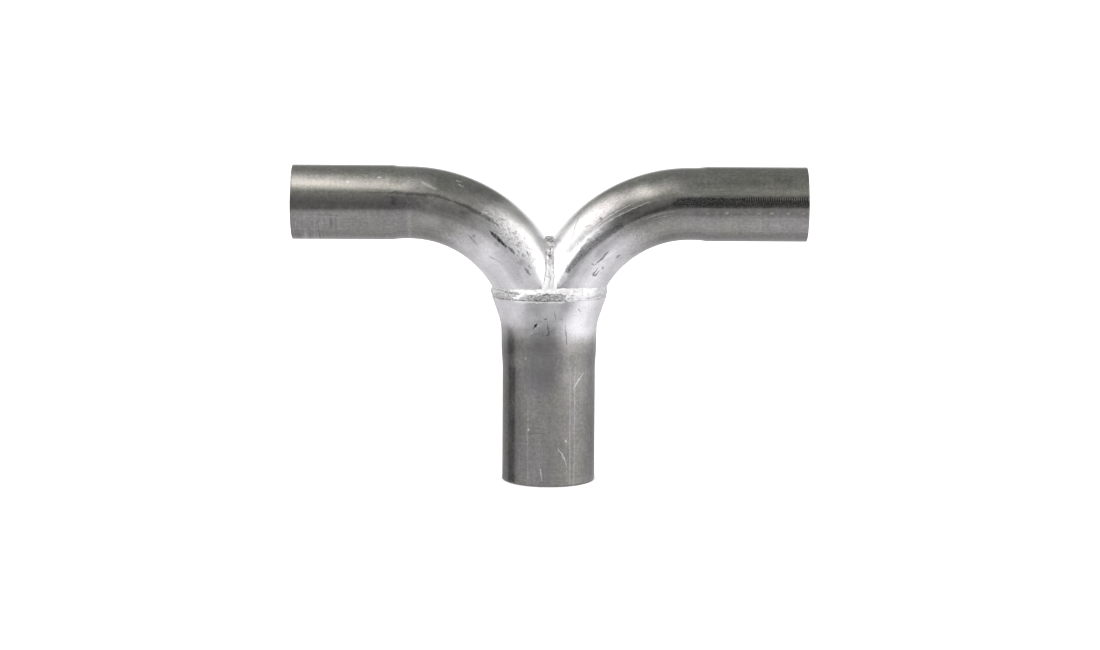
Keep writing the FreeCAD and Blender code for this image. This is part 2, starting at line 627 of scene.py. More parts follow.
def steel_effect() -> bpy.types.NodeTree:
    """Group for bare drawn steel: streaks along the tube, rings near its mouth, blotches and specks.

    Returns:
        The group, which gives colour, roughness and height in millimetres.
    """
    inputs = {"Place": "Vector", "Ring Depth": "Float", "Ring Reach": "Float", "Ring Top": "Float"}
    effect = Effect("DrawnSteel", inputs, {"Colour": "Color", "Roughness": "Float", "Height": "Float"})
    wiring, given = effect.wiring, effect.inputs
    place = given["Place"]
    along, _, up = wiring.split(place)
    streak = wiring.noise(wiring.stretch(place, (0.02, 0.8, 0.8)), 1.0, 4.0, 0.62)
    blotch = wiring.noise(wiring.stretch(place, (0.06, 0.09, 0.09)), 1.0, 4.0, 0.6)
    mottle = wiring.noise(place, 0.42, 4.0, 0.62)
    speck = wiring.noise(place, 1.3, 3.0, 0.6)
    ring = wiring.noise(wiring.stretch(place, (0.62, 0.03, 0.03)), 1.0, 2.0, 0.6)
    ring_near = wiring.remap(wiring.math("DIVIDE", along, given["Ring Reach"]), 0.4, 1.0, 1.0, 0.0)
    ring_low = wiring.remap(wiring.math("SUBTRACT", up, given["Ring Top"]), -6.0, 2.0, 1.0, 0.0)
    ring_patchy = wiring.remap(wiring.noise(place, 0.07, 2.0), 0.35, 0.65, 0.3, 1.0)
    ring_depth = wiring.product(given["Ring Depth"], ring_near, ring_low, ring_patchy)
    ringed = wiring.math("MULTIPLY", wiring.math("SUBTRACT", ring, 0.5), ring_depth)
    shade = wiring.product(
        wiring.remap(streak, 0.25, 0.75, 0.94, 1.06),
        wiring.remap(blotch, 0.3, 0.7, 0.93, 1.07),
        wiring.remap(mottle, 0.25, 0.75, 0.85, 1.15),
        wiring.remap(speck, 0.25, 0.75, 0.86, 1.14),
        wiring.math("MULTIPLY_ADD", ringed, 0.7, 1.0),
    )
    warmth = wiring.remap(wiring.noise(place, 0.045, 2.0), 0.35, 0.65)
    tint = wiring.blend_colour(warmth, (1.0, 0.99, 1.02, 1), (1.01, 1.01, 0.97, 1))
    effect.give("Colour", wiring.blend_colour(1.0, tint, wiring.grey(shade), "MULTIPLY"))
    cloudy = wiring.remap(blotch, 0.3, 0.7, -0.035, 0.035)
    effect.give("Roughness", wiring.total(cloudy, wiring.remap(mottle, 0.3, 0.7, -0.025, 0.025)))
    relief = ((streak, 0.012), (mottle, 0.012), (speck, 0.004), (blotch, 0.04), (ringed, 0.05))
    effect.give("Height", wiring.layered(*relief))
    return effect.tree


def paint_effect() -> bpy.types.NodeTree:
    """Group for thin silver paint, sprayed over the joint.

    Returns:
        The group, which gives colour, roughness and height in millimetres.
    """
    outputs = {"Colour": "Color", "Roughness": "Float", "Height": "Float"}
    effect = Effect("SilverPaint", {"Position": "Vector"}, outputs)
    wiring, position = effect.wiring, effect.inputs["Position"]
    cloud = wiring.noise(position, 80.0, 3.0, 0.55)
    fleck = wiring.noise(position, 1000.0, 2.0, 0.6)
    peel = wiring.noise(position, 380.0, 3.0, 0.6)
    cloudy = wiring.remap(cloud, 0.3, 0.7, 0.92, 1.08)
    effect.give("Colour", wiring.grey(wiring.product(cloudy, wiring.remap(fleck, 0.25, 0.75, 0.92, 1.08))))
    effect.give("Roughness", wiring.remap(cloud, 0.3, 0.7, -0.03, 0.05))
    effect.give("Height", wiring.layered((peel, 0.022), (fleck, 0.004), (cloud, 0.06)))
    return effect.tree


class Effects:
    """The node groups that the materials share."""

    def __init__(self) -> None:
        """Builds each group once."""
        self.scratch = drawn_line_effect()
        self.patch = patch_effect()
        self.steel = steel_effect()
        self.paint = paint_effect()


# Marks of use, and reflections and highlights painted as lines


@dataclass(frozen=True)
class Scratch:
    """A line through places, such as a wear mark, a weld's groove or ridge, a painted reflection or a
    painted highlight.

    On a tube they are in millimetres from its open end and in degrees from its front, upwards on a branch
    and to the right on the stem. On a bead's front they are in millimetres to the right and up from the
    floor.
    """

    line: tuple[tuple[float, float], ...]
    width: float
    strength: float = 1.0
    end_share: float = 0.3

    def stretches(self) -> list[tuple[tuple[float, float], tuple[float, float], float, float]]:
        """The line's straight stretches, which get thin towards its two ends.

        Returns:
            Start, end, width at the start and width at the end of each.
        """
        line = list(self.line)
        if len(line) == 2:
            middle = tuple((first + second) / 2 for first, second in zip(*line))
            line.insert(1, middle)
        widths = [self.width] * len(line)
        widths[0] = widths[-1] = self.width * self.end_share
        return list(zip(line, line[1:], widths, widths[1:]))


@dataclass(frozen=True)
class Patch:
    """A soft oval patch on a tube, given as its middle and its reach along the tube and round it."""

    middle: tuple[float, float]
    reach: tuple[float, float]
    strength: float = 1.0


@dataclass(frozen=True)
class ToolTicks:
    """A row of fine ticks that a forming tool left near a mouth.

    Lengths are in millimetres along the tube, and turns are in degrees round it. The ticks run together
    where the row is merged.
    """

    start: float
    end: float
    middle_turn: float
    reach_turn: float
    pitch: float = 1.55
    strength: float = 1.0
    start_fade: float = 1.0
    end_fade: float = 12.0
    merged: tuple[float, float] = (22.0, 44.0)
    merged_fade: float = 4.0
    merged_strength: float = 0.35


@dataclass(frozen=True)
class Marks:
    """Marks of use on one tube, with the reflections and highlights that are painted on it as dark and light
    lines.
    """

    dark_scratches_and_painted_reflections: tuple[Scratch, ...] = ()
    light_scratches_and_painted_highlights: tuple[Scratch, ...] = ()
    stains: tuple[Patch, ...] = ()
    light_patches: tuple[Patch, ...] = ()
    rough_patches: tuple[Patch, ...] = ()
    dull_patches: tuple[Patch, ...] = ()
    ticks: tuple[ToolTicks, ...] = ()


LEFT_MARKS = Marks(
    dark_scratches_and_painted_reflections=(
        Scratch(((6, 21), (12, 20.5)), 0.9, 0.3),
        Scratch(((24, 20.5), (31, 21)), 0.8, 0.25),
        # The next three lines, at about 20° round, are painted reflection: the upper edge of the dim front's
        # dark band, drawn dark.
        Scratch(((50, 21), (60, 20.4), (70, 21.7)), 0.6, 0.4),
        Scratch(((66, 20), (72, 21), (79, 18.3), (87, 18.5), (94, 20), (101, 19.8), (110, 18)), 1.6, 0.6),
        Scratch(((108, 18.2), (116, 18.7), (122, 17.7), (127, 18.4), (133, 18.7), (139, 19.4)), 1.9, 0.6),
        Scratch(((137, 4.9), (141, 4), (146, 3.4), (152.5, 3.2)), 1.8, 1.0),
        Scratch(((153.5, 5.8), (156, 6.4), (159.5, 6.4)), 1.5, 0.8),
        Scratch(((148, -27), (159, -19)), 0.9, 0.4),
        Scratch(((127, -19), (131, -22), (136, -25.4)), 1.2, 0.45),
        Scratch(((129, -14.5), (131, -16.4)), 1.6, 0.45),
        Scratch(((144.6, -3.4), (147.6, -4.6)), 1.5, 0.4),
        Scratch(((161.8, 15.5), (164.8, 14.5)), 1.1, 0.5),
        Scratch(((170, 15.5), (171.5, 13), (173, 14.8)), 0.8, 0.45),
        Scratch(((170.5, 6), (177, 8.5)), 1.2, 0.6),
        Scratch(((149, 33), (151, 30)), 0.7, 0.5),
        Scratch(((153, 38), (156, 34), (158, 35)), 0.6, 0.45),
        Scratch(((163, 24), (166, 21)), 0.9, 0.5),
        Scratch(((12, -14), (34, -14.5)), 0.5, 0.3),
    ),
    light_scratches_and_painted_highlights=(
        Scratch(((38.4, 38.5), (39.4, 38.5)), 1.1, 0.55, 0.8),
        Scratch(((59.2, 47.5), (60.2, 47.5)), 1.1, 0.45, 0.8),
        Scratch(((106.2, 58), (108.4, 58.4)), 1.0, 0.35, 0.7),
        Scratch(((108, 51), (110.6, 49.8)), 1.1, 0.4, 0.7),
        Scratch(((86, 42), (89, 38), (92, 34), (96, 31)), 1.5, 0.28),
        Scratch(((80.5, -14), (80.8, -42), (80.2, -70)), 2.6, 0.12, 1.0),
    ),
    stains=(
        Patch((165, -13), (24, 13), 0.30),
        Patch((120, 12), (24, 8), 0.15),
    ),
    light_patches=(Patch((95, -22), (14, 14), 0.25),),
    rough_patches=(
        Patch((154, 20), (28, 24), 1.0),
        Patch((138, 24), (20, 18), 1.0),
    ),
    dull_patches=(
        Patch((104, 5), (34, 24), 1.0),
        Patch((124, 8), (26, 22), 1.0),
        Patch((178, 6), (16, 18), 0.9),
    ),
)

RIGHT_MARKS = Marks(
    dark_scratches_and_painted_reflections=(
        Scratch(((146, -17.7), (153.7, -18.9), (160.3, -17.4)), 1.1, 0.85),
        Scratch(((160.3, -17.4), (161.5, -11)), 1.0, 0.5),
        Scratch(((141.7, -37.8), (146.2, -36.4)), 1.4, 0.7),
        Scratch(((160.9, -24.7), (167.8, -24.1), (167.2, -28.6), (162.4, -29.5)), 1.1, 0.75),
        Scratch(((157.7, -31.5), (160, -31)), 1.2, 0.6),
        Scratch(((146, 60.5), (150.2, 51.4), (155, 40), (160, 38.5)), 0.8, 0.45),
        Scratch(((143.3, 31), (147.6, 35.2)), 0.9, 0.5),
        Scratch(((136.3, 29.4), (137.3, 29)), 1.3, 0.6),
        Scratch(((112, 21.5), (128, 22), (143, 21)), 0.6, 0.5),
        Scratch(((118, 25.5), (134, 26), (147, 24)), 0.6, 0.4),
        Scratch(((150, 13), (158, 14), (166, 12.5)), 0.8, 0.6),
        # The next three lines are painted reflection: the dim front's dark band, drawn dark down the bend
        # and along the arm at 7° and 13° round.
        Scratch(((128, 3), (142, 4), (157, 8), (174, 12)), 3.8, 0.68, 0.6),
        Scratch(((44, 13), (64, 13), (88, 12.5)), 2.0, 0.9, 0.8),
        Scratch(((0, 7.4), (45, 7.4), (90, 7)), 3.6, 0.85, 0.8),
        Scratch(((60, -10.5), (100, -10.2)), 0.5, 0.2),
        Scratch(((10, -8.5), (62, -9)), 0.5, 0.25),
        Scratch(((44, -46), (48, -46)), 1.6, 0.2),
        Scratch(((56, -47), (60, -46)), 1.6, 0.2),
    ),
    light_scratches_and_painted_highlights=(
        Scratch(((141, -25), (157.5, -22.8)), 0.6, 0.6),
        Scratch(((103, 18.4), (114, 17.4), (125, 17.7), (139.5, 18.4)), 0.6, 0.36),
        Scratch(((116, 23.5), (130, 24.2), (142, 23)), 0.5, 0.3),
        Scratch(((90, -4), (104, -3.6), (112, -5)), 0.5, 0.22),
        Scratch(((94, -9), (108, -8.8)), 0.5, 0.2),
        Scratch(((146.2, -36.4), (151.2, -33.8)), 0.6, 0.5),
        # The next seven short lines are the painted highlights of a row of small raised dots, which are not
        # modelled.
        Scratch(((3.8, -8), (4.8, -8)), 0.8, 0.3, 0.8),
        Scratch(((13.8, -8), (15.2, -8)), 0.9, 0.35, 0.8),
        Scratch(((24.4, -8), (26.0, -8)), 1.0, 0.4, 0.8),
        Scratch(((33.2, -8.4), (35.0, -8.4)), 0.8, 0.3, 0.8),
        Scratch(((42.8, -8.4), (44.0, -8.4)), 0.8, 0.25, 0.8),
        Scratch(((54.6, -8), (56.2, -8)), 0.9, 0.35, 0.8),
        Scratch(((67.6, -8), (69.0, -8)), 0.8, 0.25, 0.8),
    ),
    stains=(
        Patch((60, 24), (40, 5), 0.25),
        Patch((46, 40), (34, 5), 0.20),
        Patch((147, -12), (16, 13), 0.30),
        Patch((142, -30), (30, 26), 0.16),
    ),
    rough_patches=(
        Patch((156, 10), (26, 8), 1.0),
        Patch((175, 12), (12, 7), 0.9),
    ),
    ticks=(ToolTicks(0.5, 58, 13, 4.6),),
)

STEM_MARKS = Marks(
    dark_scratches_and_painted_reflections=(
        Scratch(((108.8, -18.4), (112.2, -13.8)), 1.5, 1.0),
        Scratch(((114.9, -5.6), (115.6, -3)), 1.0, 0.75),
        Scratch(((114.4, -2.8), (109.5, -1.6), (105.6, 0.2), (104.2, -2.4)), 0.9, 0.75),
        Scratch(((121, 7), (114.1, 8.3)), 0.7, 0.5),
        Scratch(((116, 14.4), (114.2, 16)), 1.2, 0.4),
        Scratch(((111.8, 19.4), (104, 21.3), (98, 21)), 0.8, 0.5),
        Scratch(((122.2, 36), (119.4, 39)), 0.8, 0.35),
        Scratch(((103.6, -24), (106, -13), (104.6, -6)), 1.0, 0.4),
        Scratch(((36.2, -32), (37.4, -4.1)), 0.7, 0.25),
        Scratch(((40.1, -16.6), (40.4, -6.6)), 0.7, 0.25),
        Scratch(((58.4, -16.8), (58.7, -8)), 1.0, 0.28),
        Scratch(((61.6, -16.8), (61.8, -9.3)), 1.0, 0.22),
    ),
    light_scratches_and_painted_highlights=(
        Scratch(((66.9, 31.2), (72, 38.5), (77.6, 48.4)), 0.8, 0.7),
        Scratch(((26.3, 12), (21.6, 18.3), (14.5, 23.4)), 0.9, 0.6),
        Scratch(((14.2, -10.5), (4, -7.3)), 0.9, 0.5),
        Scratch(((0, 27.5), (40, 27.2), (82, 27)), 0.7, 0.2, 1.0),
        Scratch(((0, 33.5), (40, 33.7), (82, 33.9)), 0.7, 0.2, 1.0),
        Scratch(((0, -26), (30, -26.3), (62, -26)), 0.6, 0.13, 1.0),
        Scratch(((38.8, -25.2), (39.6, -25.2)), 1.0, 0.7, 0.8),
        Scratch(((31.2, 21.9), (32, 21.9)), 1.0, 0.6, 0.8),
        Scratch(((87.3, -28.8), (88.1, -28.8)), 0.9, 0.4, 0.8),
        # The next line, round the rim's lip, is partly a bare worn edge and partly the lip's painted
        # highlight.
        Scratch(((126.5, -42), (126.3, -20), (126.6, -5), (126.4, 20)), 0.8, 0.5, 1.0),
    ),
    stains=(
        Patch((84, -9), (27, 30), 0.55),
        Patch((98, -6), (12, 26), 0.4),
    ),
    light_patches=(
        Patch((82, 22), (16, 6), 0.12),
        Patch((76, 46), (26, 16), 0.06),
    ),
)


# Finishes


def shaken(wiring: Wiring, flat: Socket, place: Socket, fineness: float, reach: float) -> Socket:
    """Place, shaken a little so that a mark's edges aren't straight.

    Args:
        wiring: The material's wiring.
        flat: Place that the marks are given in.
        place: Place in space, in millimetres.
        fineness: Number of shakes per millimetre.
        reach: How far the place is shaken, in millimetres.

    Returns:
        The shaken place.
    """
    shift = wiring.node("ShaderNodeTexNoise", Vector=place, Scale=fineness, Detail=3.0).outputs["Color"]
    centred = wiring.vector("SUBTRACT", shift, (0.5, 0.5, 0.5)).outputs["Vector"]
    return wiring.vector("ADD", flat, wiring.stretch(centred, (reach, reach, 0.0))).outputs["Vector"]


def drawn_line_mask(
    wiring: Wiring, place: Socket, drawn_lines: tuple[Scratch, ...], tree: bpy.types.NodeTree,
    second_unit: float = 1.0,
) -> object:
    """Mask of a set of drawn lines.

    Args:
        wiring: The material's wiring.
        place: Place that the lines are given in.
        drawn_lines: The lines.
        tree: The line group.
        second_unit: Millimetres for one unit of the second number of a line's places.

    Returns:
        The mask, broken up here and there.
    """
    mask: object = 0.0
    for scratch in drawn_lines:
        for start, end, start_width, end_width in scratch.stretches():
            drawn = wiring.group(
                tree, Place=place, Start=(start[0], start[1] * second_unit, 0),
                End=(end[0], end[1] * second_unit, 0), Start_Width=start_width, End_Width=end_width,
            )
            drawn = wiring.math("MULTIPLY", drawn.outputs["Mask"], scratch.strength)
            mask = wiring.math("MAXIMUM", mask, drawn)
    broken = wiring.remap(wiring.noise(place, 1.1, 2.0), 0.34, 0.52, 0.35, 1.0)
    return wiring.math("MULTIPLY", mask, broken)


@dataclass(frozen=True)
class MarkMasks:
    """Masks of the kinds of marks on one tube."""

    dark: object
    light: object
    stain: object
    pale: object
    rough: object
    dull: object
    flecks: object
    glints: object
    ticks: object


@dataclass(frozen=True)
class TubeFinish:
    """Bare worn steel under thin silver paint near the joint.

    Lengths are in millimetres. The rings are the turned ones near the mouth, up to a distance from it and a
    height above the axis. A bore radius of 0 leaves the inside like the outside. A cover is the share of the
    colour below that a mark hides.
    """

    steel: Colour = (0.316, 0.310, 0.302, 1.0)
    steel_roughness: float = 0.16
    paint: Colour = (0.80, 0.788, 0.815, 1.0)
    paint_roughness: float = 0.21
    paint_metallic: float = 0.87
    stained: Colour = (0.16, 0.16, 0.175, 1.0)
    pale: Colour = (0.62, 0.61, 0.63, 1.0)
    # In the rough patches, the dark flecks are sunk specks whose colour is painted reflection of the dim
    # front, and the glints are painted glints.
    glint: Colour = (0.82, 0.81, 0.81, 1.0)
    glint_cover: float = 0.6
    fleck: Colour = (0.2, 0.2, 0.195, 1.0)
    fleck_cover: float = 0.6
    fleck_depth: float = 0.025
    # Light colour of wear marks, and of the painted highlights on the rim's lip and on a row of raised dots.
    light_scratch_and_painted_highlight: Colour = (0.9, 0.89, 0.89, 1.0)
    light_mark_cover: float = 0.7
    light_mark_metallic: float = 0.4
    # Dark colour of wear marks, and of the painted reflection that stands for the dim front's dark band in
    # the steel.
    dark_scratch_and_painted_reflection: Colour = (0.025, 0.025, 0.027, 1.0)
    dark_mark_depth: float = 0.04
    cut_end: Colour = (0.55, 0.54, 0.53, 1.0)
    cut_end_cover: float = 0.4
    cut_end_reach: float = 0.4
    worn_roughness: float = 0.25
    ring_depth: float = 1.0
    ring_reach: float = 42.0
    ring_top: float = -4.0
    round_radius: float = 25.1
    bore_radius: float = 24.35
    bore_blur: float = 0.15
    bore_metallic: float = 0.15
    marks: Marks = field(default_factory=Marks)

    def arc(self, turn: float) -> float:
        """Length round the tube of an angle in degrees, in millimetres."""
        return math.radians(turn) * self.round_radius

    def patch_mask(
        self, wiring: Wiring, place: Socket, patches: tuple[Patch, ...], tree: bpy.types.NodeTree,
    ) -> object:
        """Mask of a set of patches.

        Args:
            wiring: The material's wiring.
            place: Place along and round the tube.
            patches: The patches.
            tree: The patch group.

        Returns:
            The mask, or 0 where there are none.
        """
        mask: object = 0.0
        for patch in patches:
            centre = (patch.middle[0], self.arc(patch.middle[1]), 0)
            reach = (patch.reach[0], self.arc(patch.reach[1]), 1)
            drawn = wiring.group(tree, Place=place, Centre=centre, Reach=reach)
            drawn = wiring.math("MULTIPLY", drawn.outputs["Mask"], patch.strength)
            mask = wiring.math("MAXIMUM", mask, drawn)
        return mask

    def tick_mask(self, wiring: Wiring, place: Socket) -> object:
        """Mask of the rows of tool ticks.

        Args:
            wiring: The material's wiring.
            place: Place along and round the tube.

        Returns:
            The mask, or 0 where there are none.
        """
        mask: object = 0.0
        along, arc, _ = wiring.split(place)
        for row in self.marks.ticks:
            middle, reach = self.arc(row.middle_turn), self.arc(row.reach_turn)
            aside = wiring.math("ABSOLUTE", wiring.math("SUBTRACT", arc, middle))
            band = wiring.remap(aside, reach * 0.5, reach, 1.0, 0.0)
            first = wiring.remap(along, row.start, row.start + row.start_fade)
            last = wiring.remap(along, row.end, row.end - row.end_fade)
            wave = wiring.math("SINE", wiring.math("MULTIPLY", along, 2 * math.pi / row.pitch))
            wave = wiring.remap(wave, -0.1, 0.6)
            merged = wiring.product(
                wiring.remap(along, row.merged[0] - row.merged_fade, row.merged[0] + row.merged_fade),
                wiring.remap(along, row.merged[1] + row.merged_fade, row.merged[1] - row.merged_fade),
                row.merged_strength,
            )
            patchy = wiring.remap(wiring.noise(place, 0.16), 0.34, 0.48, 0.4, 1.0)
            filled = wiring.math("MAXIMUM", wave, merged)
            drawn = wiring.product(band, first, last, filled, patchy, row.strength)
            mask = wiring.math("MAXIMUM", mask, drawn)
        return mask

    def unrolled(self, wiring: Wiring, place: Socket) -> Socket:
        """Place along the tube and round it from its front, in millimetres on its flattened surface.

        Args:
            wiring: The material's wiring.
            place: Place along the tube, then towards its back and its top.

        Returns:
            The place.
        """
        along, back, up = wiring.split(place)
        turn = wiring.math("ARCTAN2", up, wiring.math("MULTIPLY", back, -1.0))
        arc = wiring.math("MULTIPLY", turn, self.round_radius)
        return wiring.node("ShaderNodeCombineXYZ", X=along, Y=arc).outputs["Vector"]

    def bore_mask(self, wiring: Wiring, place: Socket) -> Socket:
        """Mask of the dull inside wall.

        Args:
            wiring: The material's wiring.
            place: Place along the tube, then towards its back and its top.

        Returns:
            The mask, 0 everywhere on a tube without a bore radius.
        """
        _, back, up = wiring.split(place)
        away = wiring.distance(back, up)
        return wiring.remap(away, self.bore_radius + self.bore_blur, self.bore_radius - self.bore_blur)

    def mark_masks(self, wiring: Wiring, place: Socket, effects: Effects) -> MarkMasks:
        """Masks of all marks.

        Args:
            wiring: The material's wiring.
            place: Place along the tube, then towards its back and its top.
            effects: The shared node groups.

        Returns:
            The masks.
        """
        level = self.unrolled(wiring, place)
        flat = shaken(wiring, level, place, fineness=0.5, reach=1.8)
        loose = shaken(wiring, level, place, fineness=0.2, reach=9.0)
        rough = self.patch_mask(wiring, loose, self.marks.rough_patches, effects.patch)
        speckle = wiring.noise(wiring.stretch(place, (0.6, 1.0, 1.0)), 0.85, 4.0, 0.72)
        return MarkMasks(
            dark=drawn_line_mask(wiring, flat, self.marks.dark_scratches_and_painted_reflections, effects.scratch, self.arc(1.0)),
            light=drawn_line_mask(wiring, flat, self.marks.light_scratches_and_painted_highlights, effects.scratch, self.arc(1.0)),
            stain=self.patch_mask(wiring, flat, self.marks.stains, effects.patch),
            pale=self.patch_mask(wiring, flat, self.marks.light_patches, effects.patch),
            rough=rough,
            dull=self.patch_mask(wiring, loose, self.marks.dull_patches, effects.patch),
            flecks=wiring.math("MULTIPLY", rough, wiring.remap(speckle, 0.50, 0.60)),
            glints=wiring.math("MULTIPLY", rough, wiring.remap(speckle, 0.47, 0.38)),
            ticks=self.tick_mask(wiring, level),
        )

    def marked_colour(self, wiring: Wiring, place: Socket, clean: Socket, masks: MarkMasks) -> Socket:
        """Colour of the tube with its marks, painted reflections and painted highlights.

        Args:
            wiring: The material's wiring.
            place: Place along the tube, then towards its back and its top.
            clean: Colour without marks.
            masks: The marks' masks.

        Returns:
            The colour.
        """
        colour = wiring.blend_colour(masks.stain, clean, self.stained)
        colour = wiring.blend_colour(masks.pale, colour, self.pale)
        covered = wiring.math("MULTIPLY", masks.glints, self.glint_cover)
        colour = wiring.blend_colour(covered, colour, self.glint)
        covered = wiring.math("MULTIPLY", masks.flecks, self.fleck_cover)
        colour = wiring.blend_colour(covered, colour, self.fleck)
        covered = wiring.math("MULTIPLY", masks.light, self.light_mark_cover)
        colour = wiring.blend_colour(covered, colour, self.light_scratch_and_painted_highlight)
        covered = wiring.math("MAXIMUM", masks.dark, masks.ticks)
        colour = wiring.blend_colour(covered, colour, self.dark_scratch_and_painted_reflection)
        cut_end = wiring.remap(wiring.split(place)[0], self.cut_end_reach / 4, self.cut_end_reach, 1.0, 0.0)
        covered = wiring.math("MULTIPLY", cut_end, self.cut_end_cover)
        return wiring.blend_colour(covered, colour, self.cut_end)

    def material(
        self, name: str, effects: Effects, paint_mask: Callable[[Wiring], Socket],
    ) -> bpy.types.Material:
        """Makes the material.

        Args:
            name: The material's name.
            effects: The shared node groups.
            paint_mask: Function that adds the mask of the silver paint.

        Returns:
            The material.
        """
        material, wiring, shader = new_material(name)
        place = wiring.place()
        rings = {"Ring_Depth": self.ring_depth, "Ring_Reach": self.ring_reach, "Ring_Top": self.ring_top}
        steel = wiring.group(effects.steel, Place=place, **rings).outputs
        paint = wiring.group(effects.paint, Position=wiring.position()).outputs
        mask = paint_mask(wiring)
        masks = self.mark_masks(wiring, place, effects)

        bare = wiring.blend_colour(1.0, self.steel, steel["Colour"], "MULTIPLY")
        coated = wiring.blend_colour(1.0, self.paint, paint["Colour"], "MULTIPLY")
        clean = wiring.blend_colour(mask, bare, coated)
        wiring.feed(shader.inputs["Base Color"], self.marked_colour(wiring, place, clean, masks))

        painted = wiring.blend(mask, 1.0, self.paint_metallic)
        shine = wiring.product(painted, wiring.blend(masks.light, 1.0, self.light_mark_metallic))
        inside = self.bore_mask(wiring, place)
        shine = wiring.product(shine, wiring.blend(inside, 1.0, self.bore_metallic))
        wiring.feed(shader.inputs["Metallic"], shine)

        roughness = wiring.blend(
            mask,
            wiring.math("ADD", self.steel_roughness, steel["Roughness"]),
            wiring.math("ADD", self.paint_roughness, paint["Roughness"]),
        )
        scattered = wiring.math("MAXIMUM", masks.rough, masks.dull)
        worn = wiring.math("MAXIMUM", scattered, wiring.math("MAXIMUM", masks.dark, masks.light))
        roughness = wiring.math("MULTIPLY_ADD", worn, self.worn_roughness, roughness)
        wiring.feed(shader.inputs["Roughness"], roughness)

        height = wiring.blend(mask, steel["Height"], paint["Height"])
        sunk = wiring.layered((masks.dark, self.dark_mark_depth), (masks.flecks, self.fleck_depth))
        wiring.raise_surface(shader, wiring.math("SUBTRACT", height, sunk))
        return material


@dataclass(frozen=True)
class WeldFinish:
    """Rippled weld metal under silver paint. Depths and rises are in millimetres."""

    paint: Colour = (0.80, 0.79, 0.805, 1.0)
    paint_roughness: float = 0.38
    paint_metallic: float = 0.55
    metal: Colour = (0.40, 0.40, 0.405, 1.0)
    metal_roughness: float = 0.08
    metal_metallic: float = 0.85
    lump_rise: float = 0.16
    grit_rise: float = 0.03
    bare_grit_rise: float = 0.10
    # Colour of the dark lines: painted shade in the grooves that they sink.
    painted_groove_shade: Colour = (0.06, 0.06, 0.062, 1.0)
    dark_line_depth: float = 0.15
    # Colour of the light lines: painted highlight on the ridges that they raise.
    painted_ridge_highlight: Colour = (0.88, 0.87, 0.88, 1.0)
    light_line_metallic: float = 0.5
    light_line_rise: float = 0.12
    dark_lines: tuple[Scratch, ...] = ()
    light_lines: tuple[Scratch, ...] = ()

    def line_masks(self, wiring: Wiring, position: Socket, effects: Effects) -> tuple[Socket, Socket]:
        """Masks of the lines on the bead's front.

        Args:
            wiring: The material's wiring.
            position: Place on the bead, in metres.
            effects: The shared node groups.

        Returns:
            The mask of the dark lines and that of the light ones.
        """
        millimetres = wiring.stretch(position, (1 / MM, 1 / MM, 1 / MM))
        across, back, up = wiring.split(millimetres)
        flat = wiring.node("ShaderNodeCombineXYZ", X=across, Y=up).outputs["Vector"]
        flat = shaken(wiring, flat, millimetres, fineness=0.45, reach=1.8)
        front = wiring.remap(back, -4.0, -6.0)
        dark = drawn_line_mask(wiring, flat, self.dark_lines, effects.scratch)
        light = drawn_line_mask(wiring, flat, self.light_lines, effects.scratch)
        return wiring.math("MULTIPLY", dark, front), wiring.math("MULTIPLY", light, front)

    def material(
        self, name: str, effects: Effects, bare_mask: Callable[[Wiring], Socket],
    ) -> bpy.types.Material:
        """Makes the material.

        Args:
            name: The material's name.
            effects: The shared node groups.
            bare_mask: Function that adds the mask of what the paint leaves bare.

        Returns:
            The material.
        """
        material, wiring, shader = new_material(name)
        position = wiring.position()
        paint = wiring.group(effects.paint, Position=position).outputs
        bare = bare_mask(wiring)
        grit = wiring.noise(position, 1000.0, 3.0, 0.65)
        lumps = wiring.noise(position, 400.0, 3.0, 0.6)
        dark, light = self.line_masks(wiring, position, effects)

        coated = wiring.blend_colour(1.0, self.paint, paint["Colour"], "MULTIPLY")
        shade = wiring.grey(wiring.remap(grit, 0.3, 0.7, 0.35, 1.6))
        metal = wiring.blend_colour(1.0, self.metal, shade, "MULTIPLY")
        colour = wiring.blend_colour(bare, coated, metal)
        colour = wiring.blend_colour(dark, colour, self.painted_groove_shade)
        wiring.feed(shader.inputs["Base Color"], wiring.blend_colour(light, colour, self.painted_ridge_highlight))

        shine = wiring.blend(bare, self.paint_metallic, self.metal_metallic)
        shine = wiring.product(shine, wiring.blend(light, 1.0, self.light_line_metallic))
        wiring.feed(shader.inputs["Metallic"], shine)
        roughness = wiring.math("ADD", self.paint_roughness, paint["Roughness"])
        roughness = wiring.math("MULTIPLY_ADD", bare, self.metal_roughness, roughness)
        wiring.feed(shader.inputs["Roughness"], roughness)

        height = wiring.layered(
            (lumps, self.lump_rise),
            (grit, wiring.math("MULTIPLY_ADD", bare, self.bare_grit_rise, self.grit_rise)),
            (dark, -self.dark_line_depth),
            (light, self.light_line_rise),
        )
        wiring.raise_surface(shader, height)
        return material


